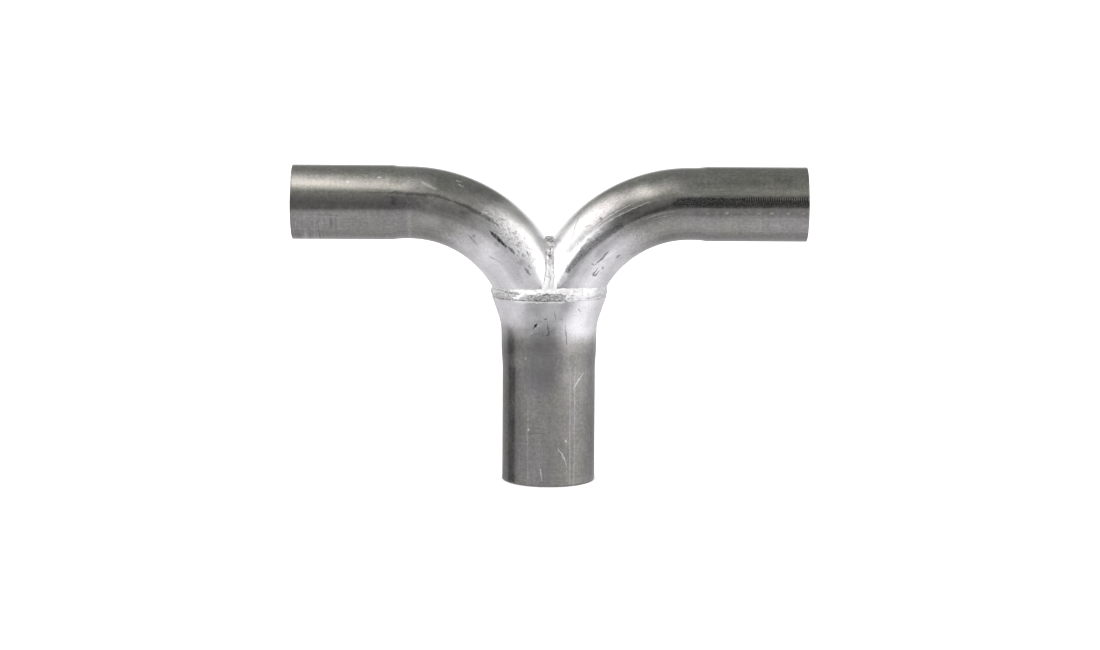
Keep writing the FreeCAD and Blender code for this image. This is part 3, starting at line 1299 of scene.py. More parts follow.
COLLAR_FINISH = WeldFinish(
    # Grooves with painted shade; the low ones, near 127.5 mm, run in the notch just above the rim.
    dark_lines=(
        Scratch(((-38, 132.9), (-31, 132.7), (-26, 131.6), (-18, 131.2), (-14, 131.8)), 0.7, 0.6),
        Scratch(((-37, 127.6), (-31, 127.0), (-26, 127.4)), 0.8, 0.6),
        Scratch(((-24, 127.3), (-14, 127.5), (-4, 127.2), (9, 127.7)), 0.6, 0.65),
        Scratch(((-5, 131.4), (-1, 131.7), (2, 131.2)), 0.8, 0.7),
        Scratch(((4, 131.8), (8, 131.6), (10.5, 130.6)), 0.9, 0.6),
        Scratch(((14.5, 131.4), (16.5, 130.6)), 0.8, 0.55),
        Scratch(((22.5, 128.5), (27, 128.2), (33, 128.9)), 0.6, 0.5),
        Scratch(((17, 127.6), (24, 127.5), (33, 127.6)), 0.5, 0.35),
    ),
    # Ridges with painted highlight; the first is the lit upper toe on the left.
    light_lines=(
        Scratch(((-27, 133.4), (-18, 133.4), (-10.5, 133.0)), 1.3, 0.95),
        Scratch(
            ((-25, 129.0), (-21.5, 128.4), (-19.6, 130.4), (-17.6, 131.4), (-9.8, 132.4), (-3.8, 133.2)),
            1.2, 0.9,
        ),
        Scratch(((10.5, 128.4), (12.5, 130.2), (14.5, 128.8)), 0.9, 0.7),
        Scratch(((14, 132.0), (22, 131.6)), 1.0, 0.6),
    ),
)
CROTCH_FINISH = WeldFinish(
    # Grooves with painted shade.
    dark_lines=(
        Scratch(((-2.0, 157), (-2.3, 146.5), (-2.9, 143), (-3.8, 136)), 0.7, 0.6),
        Scratch(((2.8, 163.6), (2.5, 154), (3.1, 144.7), (2.2, 136)), 0.6, 0.6),
        Scratch(((-0.8, 147.5), (0.5, 142.4), (-0.2, 136.5)), 0.6, 0.5),
        Scratch(((-2.4, 143.6), (-0.6, 143.2)), 0.8, 0.5),
        Scratch(((2.0, 146.6), (3.4, 146)), 0.8, 0.5),
        Scratch(((-1.5, 157.4), (0.4, 156.4), (2, 157.6)), 0.9, 0.7),
    ),
    # Short raised marks with painted highlight.
    light_lines=(
        Scratch(((-1.2, 160.4), (0, 159)), 1.5, 0.8),
        Scratch(((1.6, 162), (2.0, 158.6)), 1.2, 0.8),
    ),
)


def branch_paint_mask(wiring: Wiring) -> Socket:
    """Adds the mask of the silver paint on a branch: full at the joint and fading out along the bend.

    Args:
        wiring: The material's wiring.

    Returns:
        The mask.
    """
    position = wiring.position()
    aside, _, height = wiring.split(position)
    above = wiring.math("MULTIPLY", wiring.math("SUBTRACT", height, 0.135), 1.3)
    away = wiring.distance(aside, above)
    cloud, spray = wiring.sway(position, 45.0), wiring.sway(position, 700.0, 2.0)
    reach = wiring.layered((away, 1.0), (cloud, 0.03), (spray, 0.016))
    return wiring.remap(reach, 0.048, 0.092, 1.0, 0.0)


def stem_paint_mask(wiring: Wiring) -> Socket:
    """Adds the mask of the silver paint on the stem: full on the socket and fading out below it.

    Args:
        wiring: The material's wiring.

    Returns:
        The mask.
    """
    position = wiring.position()
    across, _, height = wiring.split(position)
    cloud, spray = wiring.sway(position, 60.0), wiring.sway(position, 700.0, 2.0)
    reach = wiring.layered((height, 1.0), (cloud, 0.010), (spray, 0.006))
    return wiring.remap(reach, 0.093, wiring.remap(across, 0.0, 0.02, 0.118, 0.108))


def collar_bare_mask(wiring: Wiring) -> Socket:
    """Adds the mask of dull weld metal on the collar bead: both its ends, and a rough band low between.

    Args:
        wiring: The material's wiring.

    Returns:
        The mask.
    """
    position = wiring.position()
    across, _, height = wiring.split(position)
    cloud, rough = wiring.sway(position, 280.0, 4.0, 0.65), wiring.sway(position, 620.0)
    across = wiring.layered((across, 1.0), (cloud, 0.022), (rough, 0.008))
    height = wiring.layered((height, 1.0), (cloud, 0.008), (rough, 0.004))
    streak = wiring.noise(wiring.stretch(position, (1.0, 1.0, 3.0)), 260.0, 3.0, 0.6)
    past_left = wiring.remap(across, -0.021, -0.014)
    before_right = wiring.remap(across, 0.009, 0.018, 1.0, 0.0)
    low = wiring.remap(height, 0.1310, 0.1332, 1.0, 0.0)
    grit = wiring.remap(wiring.noise(position, 800.0, 2.0), 0.3, 0.55, 0.3, 1.0)
    left = wiring.product(wiring.math("SUBTRACT", 1.0, past_left), wiring.remap(streak, 0.4, 0.6, 0.45, 0.7))
    right = wiring.product(wiring.remap(across, 0.010, 0.018), wiring.remap(streak, 0.56, 0.68), 0.5)
    end = wiring.remap(across, 0.027, 0.034, 0.0, 0.6)
    sides = wiring.math("MAXIMUM", left, wiring.math("MAXIMUM", right, end))
    return wiring.math("MAXIMUM", sides, wiring.product(past_left, before_right, low, grit))


def crotch_bare_mask(wiring: Wiring) -> Socket:
    """Adds the mask of dull weld metal on the crotch bead: its top, in blobs.

    Args:
        wiring: The material's wiring.

    Returns:
        The mask.
    """
    position = wiring.position()
    height = wiring.split(position)[2]
    height = wiring.math("MULTIPLY_ADD", wiring.sway(position, 420.0), 0.016, height)
    blobs = wiring.remap(wiring.noise(position, 380.0, 3.0), 0.58, 0.50, 0.2, 0.95)
    return wiring.product(wiring.remap(height, 0.149, 0.156), blobs)


# Pieces


class Side(Enum):
    """The side on which a branch lies."""

    LEFT = -1
    RIGHT = 1


@dataclass
class Branch:
    """One bent branch tube, from its sized mouth to its foot in the socket."""

    side: Side
    joint: Joint
    wall: float = 1.6 * MM
    step_length: float = 9.0 * MM
    plain_length: float = 2.3 * MM
    segments: int = 144
    sized_rings: int = 46
    step_rings: int = 8
    plain_rings: int = 2
    bend_rings: int = 96
    edge_round: float = 0.3 * MM
    wave_height: float = 0.06 * MM
    wave_size: float = 14.0 * MM
    wave_squeeze: float = 0.5
    wave_sink: float = 0.6

    @property
    def sized_radius(self) -> float:
        """Outer radius of the sized end."""
        return mount_size("right_end", "r_mm")

    @property
    def sized_length(self) -> float:
        """Length of the sized end."""
        return mount_size("right_end", "length_mm")

    @property
    def mouth(self) -> Vector:
        """Centre of the right-hand branch's mouth."""
        reach = self.joint.bend_start + self.plain_length + self.step_length + self.sized_length
        return Vector((reach, 0, self.joint.branch_axis))

    def unbend(self, point: Vector) -> Vector:
        """Place of a point on the tube before it was bent.

        Args:
            point: A point of this branch.

        Returns:
            Its distance from the mouth, then across to the back, then up from the tube's axis.
        """
        along = point.x * self.side.value
        centre = self.joint.bend_centre
        if along > centre.x:
            return Vector((self.mouth.x - along, point.y, point.z - self.mouth.z))
        spoke = Vector((centre.x - along, point.z - centre.z))
        turn = math.atan2(spoke.x, spoke.y)
        straight = self.mouth.x - centre.x + turn * self.joint.bend_radius
        return Vector((straight, point.y, spoke.length - self.joint.bend_radius))

    def shape_skin(self, piece: PieceMesh) -> None:
        """Pulls the tube's outer skin along its straight end and spins it round its bend.

        Args:
            piece: Empty mesh to fill.
        """
        facing = Matrix.Translation(self.mouth) @ Matrix.Rotation(math.pi / 2, 4, "Y")
        ring = piece.ring(self.segments, self.sized_radius, facing)
        for _ in range(self.sized_rings):
            ring = piece.pull(ring, Vector((-self.sized_length / self.sized_rings, 0, 0)))
        flatness = self.joint.bent_height / 2 / self.sized_radius - 1
        spread = self.joint.bent_depth / 2 / self.sized_radius - 1
        for step in range(self.step_rings):
            ring = piece.pull(ring, Vector((-self.step_length / self.step_rings, 0, 0)))
            before = 1 - (1 - step / self.step_rings) ** 2
            after = 1 - (1 - (step + 1) / self.step_rings) ** 2
            lower = (1 + flatness * after) / (1 + flatness * before)
            wider = (1 + spread * after) / (1 + spread * before)
            piece.scale_ring(ring, Vector((0, 0, self.joint.branch_axis)), Vector((1, wider, lower)))
        for _ in range(self.plain_rings):
            ring = piece.pull(ring, Vector((-self.plain_length / self.plain_rings, 0, 0)))
        bmesh.ops.spin(
            piece.mesh, geom=piece.ring_edges(ring), cent=self.joint.bend_centre, axis=(0, -1, 0),
            angle=math.pi / 2, steps=self.bend_rings, use_merge=False,
        )

    def wave(self, piece: PieceMesh) -> None:
        """Moves the skin in a little here and there, as bending leaves it.

        Args:
            piece: The skin, before it gets its wall.
        """
        piece.mesh.normal_update()
        for vert in piece.mesh.verts:
            straight = self.unbend(vert.co)
            bent = smooth_step(self.sized_length, self.sized_length + self.step_length * 3, straight.x)
            squeezed = Vector((straight.x * self.wave_squeeze, straight.y, straight.z))
            level = grain(squeezed, self.wave_size, 2.0 + self.side.value) - self.wave_sink
            vert.co += vert.normal * (level * self.wave_height * bent)

    def build(self, material: bpy.types.Material) -> bpy.types.Object:
        """Builds the branch.

        Args:
            material: The tube's material.

        Returns:
            The piece that stands for the branch's CAD node.
        """
        piece = PieceMesh()
        self.shape_skin(piece)
        piece.cut(Vector((0, 0, 0)), Vector((-1, 0, 0)))
        piece.cut(Vector((0, 0, self.joint.foot)), Vector((0, 0, -1)))
        bmesh.ops.remove_doubles(piece.mesh, verts=piece.mesh.verts[:], dist=TOUCHING)
        bmesh.ops.scale(piece.mesh, verts=piece.mesh.verts[:], vec=(self.side.value, 1, 1))
        mouth = Vector((self.mouth.x * self.side.value, 0, self.mouth.z))
        piece.face_out(mouth)
        self.wave(piece)
        piece.wall(self.wall)
        piece.round_end(mouth, Vector((1, 0, 0)), self.edge_round)
        side = self.side.name
        made = piece.finish(f"{side.title()}Branch", f"{side.lower()}_branch", material)
        store_place(made.data, self.unbend)
        return made


@dataclass
class Stem:
    """The stem tube, from its sized open end to the rim of its socket."""

    joint: Joint
    wall: float = 1.6 * MM
    step_length: float = 16.5 * MM
    plain_length: float = 3.5 * MM
    formed_radius: float = 32.55 * MM
    socket_length: float = 30.0 * MM
    knee_length: float = 11.2 * MM
    knee_softness: float = 4.0 * MM
    clearance: float = 1.5 * MM
    segments: int = 240
    sized_rings: int = 52
    step_rings: int = 14
    plain_rings: int = 3
    socket_rings: int = 30
    edge_round: float = 0.3 * MM
    rim_round: float = 0.7 * MM
    rim_wave: float = 0.5 * MM
    rim_wave_size: float = 7.0 * MM
    rim_wave_reach: float = 3.0 * MM
    rim_wave_sink: float = 0.3

    @property
    def sized_radius(self) -> float:
        """Outer radius of the sized end."""
        return mount_size("stem_end", "r_mm")

    @property
    def sized_length(self) -> float:
        """Length of the sized end."""
        return mount_size("stem_end", "length_mm")

    def spread_share(self, height: float) -> float:
        """How far the stem is spread at a height.

        Args:
            height: Height above the floor.

        Returns:
            A share that is 0 at the socket's start and 1 at its rim.
        """
        start = self.joint.rim - self.socket_length
        knee = start + self.knee_length

        def spread(level: float) -> float:
            """Unscaled spread at a height."""
            return level - knee + math.hypot(level - knee, self.knee_softness)

        return (spread(height) - spread(start)) / (spread(self.joint.rim) - spread(start))

    def shape_skin(self, piece: PieceMesh) -> None:
        """Pulls the stem's outer skin up from its open end and spreads its top.

        Args:
            piece: Empty mesh to fill.
        """
        from_the_front = Matrix.Rotation(math.pi, 4, "Z")
        ring = piece.ring(self.segments, self.sized_radius, from_the_front)
        for _ in range(self.sized_rings):
            ring = piece.pull(ring, Vector((0, 0, self.sized_length / self.sized_rings)))
        growth = self.formed_radius / self.sized_radius - 1
        for step in range(self.step_rings):
            ring = piece.pull(ring, Vector((0, 0, self.step_length / self.step_rings)))
            before = 1 + growth * smooth_step(0, 1, step / self.step_rings)
            after = 1 + growth * smooth_step(0, 1, (step + 1) / self.step_rings)
            piece.scale_ring(ring, Vector((0, 0, 0)), Vector((after / before, after / before, 1)))
        for _ in range(self.plain_rings):
            ring = piece.pull(ring, Vector((0, 0, self.plain_length / self.plain_rings)))
        rim = Walk(self.joint.outline(self.joint.rim, self.clearance + self.wall))
        for _ in range(self.socket_rings):
            ring = piece.pull(ring, Vector((0, 0, self.socket_length / self.socket_rings)))
            for index, vert in enumerate(ring):
                turn = 2 * math.pi * index / self.segments
                circle = Vector((math.sin(turn), -math.cos(turn), 0)) * self.formed_radius
                edge = rim.at(index / self.segments)
                share = self.spread_share(vert.co.z)
                vert.co.x = circle.x + (edge.x - circle.x) * share
                vert.co.y = circle.y + (edge.y - circle.y) * share

    def wave_rim(self, piece: PieceMesh) -> None:
        """Makes the cut edge of the rim a little uneven.

        Args:
            piece: The stem, with its wall.
        """
        top = self.joint.rim
        for vert in piece.mesh.verts:
            near = smooth_step(top - self.rim_wave_reach, top, vert.co.z)
            if near:
                level = grain(Vector((vert.co.x, vert.co.y, 0)), self.rim_wave_size, 4.0)
                vert.co.z += (level - self.rim_wave_sink) * self.rim_wave * near

    def build(self, material: bpy.types.Material) -> bpy.types.Object:
        """Builds the stem.

        Args:
            material: The tube's material.

        Returns:
            The piece that stands for the stem's CAD node.
        """
        piece = PieceMesh()
        self.shape_skin(piece)
        piece.face_out(Vector((0, 0, 0)))
        piece.wall(self.wall)
        piece.round_end(Vector((0, 0, 0)), Vector((0, 0, 1)), self.edge_round)
        piece.round_end(Vector((0, 0, self.joint.rim)), Vector((0, 0, 1)), self.rim_round)
        self.wave_rim(piece)
        made = piece.finish("Stem", "stem", material)
        store_place(made.data, lambda point: Vector((point.z, point.y, point.x)))
        return made


@dataclass(frozen=True)
class Ridge:
    """A raised or sunk line on the front of the collar bead.

    Its ends are given as the distance along X in millimetres and the share of the way up the bead's face.
    """

    start: tuple[float, float]
    end: tuple[float, float]
    rise: float
    width: float

    def at(self, across: float, share: float, face_height: float) -> float:
        """Rise of the ridge at a point of the face.

        Args:
            across: Point's distance along X in millimetres.
            share: Its share of the way up the face.
            face_height: The face's height in millimetres.

        Returns:
            The rise in millimetres.
        """
        run = Vector((self.end[0] - self.start[0], (self.end[1] - self.start[1]) * face_height))
        gone = Vector((across - self.start[0], (share - self.start[1]) * face_height))
        along = min(1.0, max(0.0, gone.dot(run) / run.dot(run)))
        aside = (gone - run * along).length
        return self.rise * math.exp(-((aside / self.width) ** 2))


@dataclass
class CollarBead:
    """The weld bead round the socket's rim. Its ripples, lumps and grit are in millimetres."""

    joint: Joint
    rim_margin: float = 2.3 * MM
    top_margin: float = -0.15 * MM
    inner_margin: float = -1.4 * MM
    height: float = 6.6 * MM
    front_lift: float = 1.2 * MM
    right_lift: float = 1.0 * MM
    crown: float = 1.1 * MM
    root: float = 0.9 * MM
    segments: int = 960
    face_rings: int = 26
    back_rings: int = 2
    ripple_count: int = 112
    ripple_bow: float = 0.9
    ripple_lean: float = 0.5
    ripple_wander: float = 2.4
    ripple_height: float = 0.10
    lump_height: float = 0.55
    grit_height: float = 0.26
    toe_wave: float = 0.7 * MM
    ridges: tuple[Ridge, ...] = (
        Ridge((-26.7, 0.90), (-10, 0.93), 0.55, 0.7),
        Ridge((-24.7, 0.08), (-21.3, 0.34), 0.55, 0.8),
        Ridge((-20.7, 0.20), (-16, 0.72), 0.75, 0.8),
        Ridge((-16, 0.66), (-2.5, 0.88), 0.6, 0.8),
        Ridge((-9, 0.44), (-2.5, 0.58), 0.4, 0.6),
        Ridge((11.5, 0.2), (15, 0.72), 0.6, 0.8),
        Ridge((17, 0.5), (30, 0.62), 0.45, 1.1),
        Ridge((18, 0.24), (35.5, 0.27), -0.6, 0.45),
        Ridge((9, 0.60), (22, 0.80), -0.4, 0.5),
        Ridge((22, 0.72), (34, 0.62), -0.35, 0.6),
        Ridge((-37.5, 0.16), (-19.3, 0.16), -0.45, 0.6),
        Ridge((-37, 0.95), (-28, 0.93), -0.4, 0.5),
        Ridge((6, 0.92), (36, 0.94), 0.35, 0.6),
    )

    def section_point(self, step: int) -> tuple[float, float]:
        """Height and margin of a ring of the bead's section.

        Args:
            step: Ring's number, counted up the face and then down the back.

        Returns:
            Its height above the floor and its distance outside the branches.
        """
        full = self.height + self.root
        bottom = self.joint.rim - self.root
        if step <= self.face_rings:
            share = step / self.face_rings
            slope = self.rim_margin * (1 - share) + self.top_margin * share
            bulge = self.crown * math.sin(math.pi * share) ** 0.85
            return bottom + full * share, slope + bulge
        share = (step - self.face_rings) / (self.back_rings + 1)
        return bottom + full * (1 - share), self.inner_margin

    def toe_lift(self, point: Vector) -> float:
        """How much higher than planned the upper toe lies at a point of the way round.

        Args:
            point: The point.

        Returns:
            The lift.
        """
        front = smooth_step(-6 * MM, -20 * MM, point.y)
        right = smooth_step(-5 * MM, 25 * MM, point.x) * smooth_step(10 * MM, -10 * MM, point.y)
        wave = grain(point, 8.0 * MM, 15.0) + 0.35 * grain(point, 2.5 * MM, 16.0)
        return self.front_lift * front + self.right_lift * right + self.toe_wave * wave

    def relief(self, point: Vector, around: float, share: float) -> float:
        """How far the bead's face stands out at a point.

        Args:
            point: The point.
            around: Its share of the way round.
            share: Its share of the way up the face.

        Returns:
            The relief in metres.
        """
        seated = math.sin(math.pi * share) ** 0.5
        bow = self.ripple_bow * (2 * share - 1) ** 2
        phase = 2 * math.pi * (self.ripple_count * around + bow + self.ripple_lean * share)
        phase += self.ripple_wander * grain(point, 5.0 * MM, 11.0)
        patchy = smooth_step(-0.35, 0.35, grain(point, 14.0 * MM, 12.0))
        rough = 0.5 + 0.9 * math.exp(-((point.x / MM) / 15.0) ** 4) if point.y < 0 else 0.9
        relief = self.ripple_height * patchy * math.cos(phase)
        relief += self.lump_height * rough * grain(point, 3.2 * MM, 13.0)
        relief += self.grit_height * rough * grain(point, 1.2 * MM, 14.0)
        if point.y < 0:
            relief += sum(ridge.at(point.x / MM, share, self.height / MM) for ridge in self.ridges)
        return relief * seated * MM

    def build(self, material: bpy.types.Material) -> bpy.types.Object:
        """Builds the bead.

        Args:
            material: The weld's material.

        Returns:
            The piece that stands for the bead's CAD node.
        """
        piece = PieceMesh()
        first = piece.ring(self.segments, self.joint.bend_radius, Matrix.Identity(4))
        base = Walk(self.joint.outline(self.joint.rim, self.rim_margin))
        lifts = [self.toe_lift(base.at(index / self.segments)) for index in range(self.segments)]
        rings = [first]
        for _ in range(self.face_rings + self.back_rings):
            rings.append(piece.pull(rings[-1], Vector((0, 0, self.height / self.face_rings))))
        for step, ring in enumerate(rings):
            height, margin = self.section_point(step)
            walk = Walk(self.joint.outline(height, margin))
            for index, vert in enumerate(ring):
                vert.co = walk.at(index / self.segments)
                share = (height - self.joint.rim + self.root) / (self.height + self.root)
                vert.co.z += lifts[index] * share
        bmesh.ops.bridge_loops(piece.mesh, edges=piece.ring_edges(rings[-1]) + piece.ring_edges(first))
        bmesh.ops.recalc_face_normals(piece.mesh, faces=piece.mesh.faces[:])
        piece.mesh.normal_update()
        for step in range(1, self.face_rings):
            for index, vert in enumerate(rings[step]):
                depth = self.relief(vert.co, index / self.segments, step / self.face_rings)
                vert.co += vert.normal * depth
        return piece.finish("CollarBead", "collar_weld", material)


@dataclass
class CrotchBead:
    """The weld bead that runs over the crotch and down both faces of the valley.

    Its lumps, grit and ridges are in millimetres.
    """

    joint: Joint
    width: float = 7.2 * MM
    thickness: float = 5.2 * MM
    lift: float = 0.4 * MM
    start_height: float = 130.0 * MM
    segments: int = 60
    stations: int = 420
    foot_flare: float = 0.8
    crest_flare: float = 0.5
    crest_rise: float = 0.8 * MM
    crest_flatness: float = 0.5
    lump_height: float = 0.6
    grit_height: float = 0.3
    ridge_height: float = 0.28
    ridge_gap: float = 2.3 * MM
    ridge_wander: tuple[float, float] = (3.0, 1.2)
    width_wander: float = 0.12
    side_wander: float = 0.6 * MM

    def seam(self, turn: float) -> tuple[Vector, Vector]:
        """Point on the seam and the way out of the valley there.

        Args:
            turn: 0 at the front and half a circle at the back.

        Returns:
            The point, and a unit vector away from the branches.
        """
        half_height = self.joint.bent_height / 2 + self.lift
        half_depth = self.joint.bent_depth / 2 + self.lift
        reach = self.joint.bend_radius + half_height * math.sin(turn)
        rise = math.sqrt(reach**2 - self.joint.bend_start**2)
        point = Vector((0, -half_depth * math.cos(turn), self.joint.bend_centre.z + rise))
        ahead = Vector((0, half_depth * math.sin(turn), half_height * math.cos(turn) * reach / rise))
        return point, ahead.cross(Vector((1, 0, 0))).normalized()

    def start_turn(self) -> float:
        """Turn at which the seam goes into the collar bead."""
        rise = self.start_height - self.joint.bend_centre.z
        reach = math.hypot(self.joint.bend_start, rise) - self.joint.bend_radius
        return math.asin(reach / (self.joint.bent_height / 2 + self.lift))

    def place_ring(self, ring: Ring, share: float) -> None:
        """Moves a ring to its station on the seam and shapes its lumps and ridges.

        Args:
            ring: The ring's points.
            share: Share of the way from the front foot to the back one.
        """
        start = self.start_turn()
        point, outward = self.seam(start + (math.pi - 2 * start) * share)
        end = min(share, 1 - share)
        crest = smooth_step(0.22, 0.42, end)
        flare = 1 + self.foot_flare * smooth_step(0.15, 0.0, end) + self.crest_flare * crest
        flare += self.width_wander * grain(point, 4.0 * MM, 21.0)
        drift = self.side_wander * grain(point, 7.0 * MM, 22.0)
        sway = self.ridge_wander[0] * grain(point, 6.0 * MM, 25.0)
        sway += self.ridge_wander[1] * grain(point, 2.2 * MM, 26.0)
        for index, vert in enumerate(ring):
            angle = 2 * math.pi * index / self.segments
            aside = math.cos(angle) * self.width / 2 * flare
            rise = math.copysign(abs(math.sin(angle)) ** (1 - self.crest_flatness * crest), math.sin(angle))
            out = rise * (self.thickness / 2 + self.crest_rise * crest)
            spot = point + Vector((aside + drift, 0, 0)) + outward * out
            proud = max(0.0, math.sin(angle)) ** 0.5
            relief = self.lump_height * (0.6 + crest) * grain(spot, 2.6 * MM, 23.0)
            relief += self.grit_height * grain(spot, 1.1 * MM, 24.0)
            ridge = 1 - 2 * abs(math.sin(math.pi * aside / self.ridge_gap / (1 + 0.6 * (flare - 1)) + sway))
            relief += self.ridge_height * (1 - 0.6 * crest) * ridge
            vert.co = spot + outward * (relief * MM * proud)

    def build(self, material: bpy.types.Material) -> bpy.types.Object:
        """Builds the bead.

        Args:
            material: The weld's material.

        Returns:
            The piece that stands for the bead's CAD node.
        """
        piece = PieceMesh()
        first = piece.ring(self.segments, self.width / 2, Matrix.Identity(4))
        self.place_ring(first, 0.0)
        ring = first
        for station in range(1, self.stations):
            ring = piece.pull(ring, Vector((0, 0, 0)))
            self.place_ring(ring, station / (self.stations - 1))
        for end in (first, ring):
            bmesh.ops.edgeloop_fill(piece.mesh, edges=piece.ring_edges(end))
        bmesh.ops.recalc_face_normals(piece.mesh, faces=piece.mesh.faces[:])
        return piece.finish("CrotchBead", "crotch_weld", material)


# Studio


@dataclass
class Studio:
    """Floor, light panel, surroundings and camera.

    The floor, the panel and the surroundings each hold the pattern of light and dark that a studio shows in
    bright steel; to the eye the floor is plain white. The directions of the floor's pattern turn round a
    centre on the Y axis, and a dark wedge opens from its tip to the left and a little to the back.
    """

    frame_width: int = 1100
    focal_pixels: float = 2840.0
    sensor: float = 36.0
    camera_place: tuple[float, float, float] = (0.0, -1.92, 0.4008)
    look_down: float = math.radians(8.71)
    look_right: float = math.radians(0.02)
    roll: float = math.radians(0.33)
    sky_white: float = 1.7
    panel_height: float = 1.19
    panel_reach: float = 2.0
    panel_dim: float = 0.42
    floor_reach: float = 20.0
    turn_centre: float = -0.017
    wedge_tip: tuple[float, float] = (-0.0164, -0.0223)
    wedge_glow: float = 0.185

    def add_sheet(
        self, name: str, reach: float, height: float, material: bpy.types.Material,
    ) -> bpy.types.Object:
        """Adds a flat square sheet to the stage.

        Args:
            name: The sheet's name.
            reach: Half its side.
            height: Its height above the floor.
            material: Its material.

        Returns:
            The sheet.
        """
        mesh = bmesh.new()
        lifted = Matrix.Translation(Vector((0, 0, height)))
        bmesh.ops.create_grid(mesh, x_segments=1, y_segments=1, size=reach, matrix=lifted)
        data = bpy.data.meshes.new(name)
        mesh.to_mesh(data)
        mesh.free()
        data.materials.append(material)
        sheet = bpy.data.objects.new(name, data)
        bpy.context.scene.collection.objects.link(sheet)
        return sheet

    def steep_glow(self, wiring: Wiring, x: Socket, y: Socket, away: Socket) -> Socket:
        """Adds the table's brightness where the steel looks steeply down on it.

        Args:
            wiring: The floor material's wiring.
            x: Place to the right, in metres.
            y: Place towards the back, in metres.
            away: Distance from the stem's axis, in metres.

        Returns:
            The brightness.
        """
        left = wiring.curve(y, {
            -1.7: 0.35, -0.68: 0.41, -0.4: 0.74, -0.2: 0.79, -0.08: 0.71, 0.0: 0.68, 0.05: 0.60, 0.12: 0.64,
        })
        right = wiring.curve(y, {
            -1.7: 0.32, -1.2: 0.48, -0.36: 0.52, -0.24: 0.80, -0.12: 0.92, -0.03: 0.80, 0.03: 0.60,
        })
        depth = wiring.blend(wiring.remap(x, -0.05, 0.05), left, right)
        beside = wiring.curve(x, {-0.1: 1.0, -0.02: 0.78, 0.02: 0.70, 0.1: 0.95})
        beside = wiring.blend(wiring.remap(away, 0.10, 0.22, 1.0, 0.0), 1.0, beside)
        glow = wiring.product(depth, beside, wiring.remap(x, 0.2, 0.34, 1.0, 1.3))
        edge = wiring.total(y, wiring.math("MULTIPLY", wiring.math("ADD", x, 0.205), 2.6), 0.64)
        corner = wiring.remap(x, -0.3, 0.1, 0.27, 0.14)
        return wiring.blend(wiring.remap(edge, -0.08, 0.08), corner, glow)

    def low_glow(self, wiring: Wiring, x: Socket, y: Socket, away: Socket, turn: Socket) -> Socket:
        """Adds the table's brightness where the steel sees it at a low angle.

        Args:
            wiring: The floor material's wiring.
            x: Place to the right, in metres.
            y: Place towards the back, in metres.
            away: Distance from the stem's axis, in metres.
            turn: Direction from the stem's axis, in degrees from the front and to the right.

        Returns:
            The brightness.
        """
        glow = wiring.curve(turn, {
            -180: 0.45, -145: 0.44, -122: 0.37, -92: 0.45, -75: 0.54, -52: 0.68, -31: 0.70, 0: 0.64,
            29: 0.70, 50: 0.86, 73: 0.89, 86: 0.80, 100: 0.70, 117: 0.55, 140: 0.44, 180: 0.45,
        })
        further = wiring.curve(away, {0.1: 1.0, 0.28: 1.05, 0.48: 1.25, 0.65: 1.4, 0.9: 1.2})
        further = wiring.blend(wiring.remap(turn, 12.0, 50.0), 1.0, further)
        glow = wiring.product(glow, wiring.remap(away, 0.35, 0.55, 1.0, 1.12), further)
        leftward = wiring.math("MULTIPLY", wiring.math("SUBTRACT", x, self.wedge_tip[0]), -1.0)
        backward = wiring.math("SUBTRACT", y, self.wedge_tip[1])
        wedge = wiring.math("DEGREES", wiring.math("ARCTAN2", backward, leftward))
        dark = wiring.product(wiring.remap(wedge, 0.0, 4.0), wiring.remap(wedge, 33.0, 26.0))
        return wiring.blend(dark, glow, self.wedge_glow)

    def table_glow(self, wiring: Wiring) -> Socket:
        """Adds the table's brightness in the steel's reflections.

        Args:
            wiring: The floor material's wiring.

        Returns:
            The brightness.
        """
        x, y, _ = wiring.split(wiring.position())
        away = wiring.distance(x, y)
        forward = wiring.math("MULTIPLY", wiring.math("SUBTRACT", y, self.turn_centre), -1.0)
        turn = wiring.math("DEGREES", wiring.math("ARCTAN2", x, forward))
        steep = self.steep_glow(wiring, x, y, away)
        low = self.low_glow(wiring, x, y, away, turn)
        facing = wiring.node("ShaderNodeLayerWeight", Blend=0.5).outputs["Facing"]
        short, long = wiring.remap(away, 0.8, 0.55), wiring.remap(away, 1.6, 1.2)
        near = wiring.blend(wiring.remap(turn, 25.0, 40.0), short, long)
        return wiring.blend(wiring.product(wiring.remap(facing, 0.69, 0.79), near), steep, low)

    def floor_material(self) -> bpy.types.Material:
        """Makes the floor's material: white to the eye, and a lit table to the steel.

        Returns:
            The material.
        """
        material, wiring, shader = new_material("PaleFloor")
        shader.inputs["Base Color"].default_value = (0.97, 0.97, 0.97, 1)
        shader.inputs["Roughness"].default_value = 1.0
        shader.inputs["Specular IOR Level"].default_value = 0.0
        glow = wiring.node("ShaderNodeEmission", Color=(1.0, 0.99, 1.0, 1), Strength=self.table_glow(wiring))
        mixed = wiring.tree.nodes.new("ShaderNodeMixShader")
        wiring.feed(mixed.inputs[0], wiring.node("ShaderNodeLightPath").outputs["Is Glossy Ray"])
        wiring.feed(mixed.inputs[1], shader.outputs["BSDF"])
        wiring.feed(mixed.inputs[2], glow.outputs["Emission"])
        wiring.feed(material.node_tree.nodes["Material Output"].inputs["Surface"], mixed.outputs["Shader"])
        return material

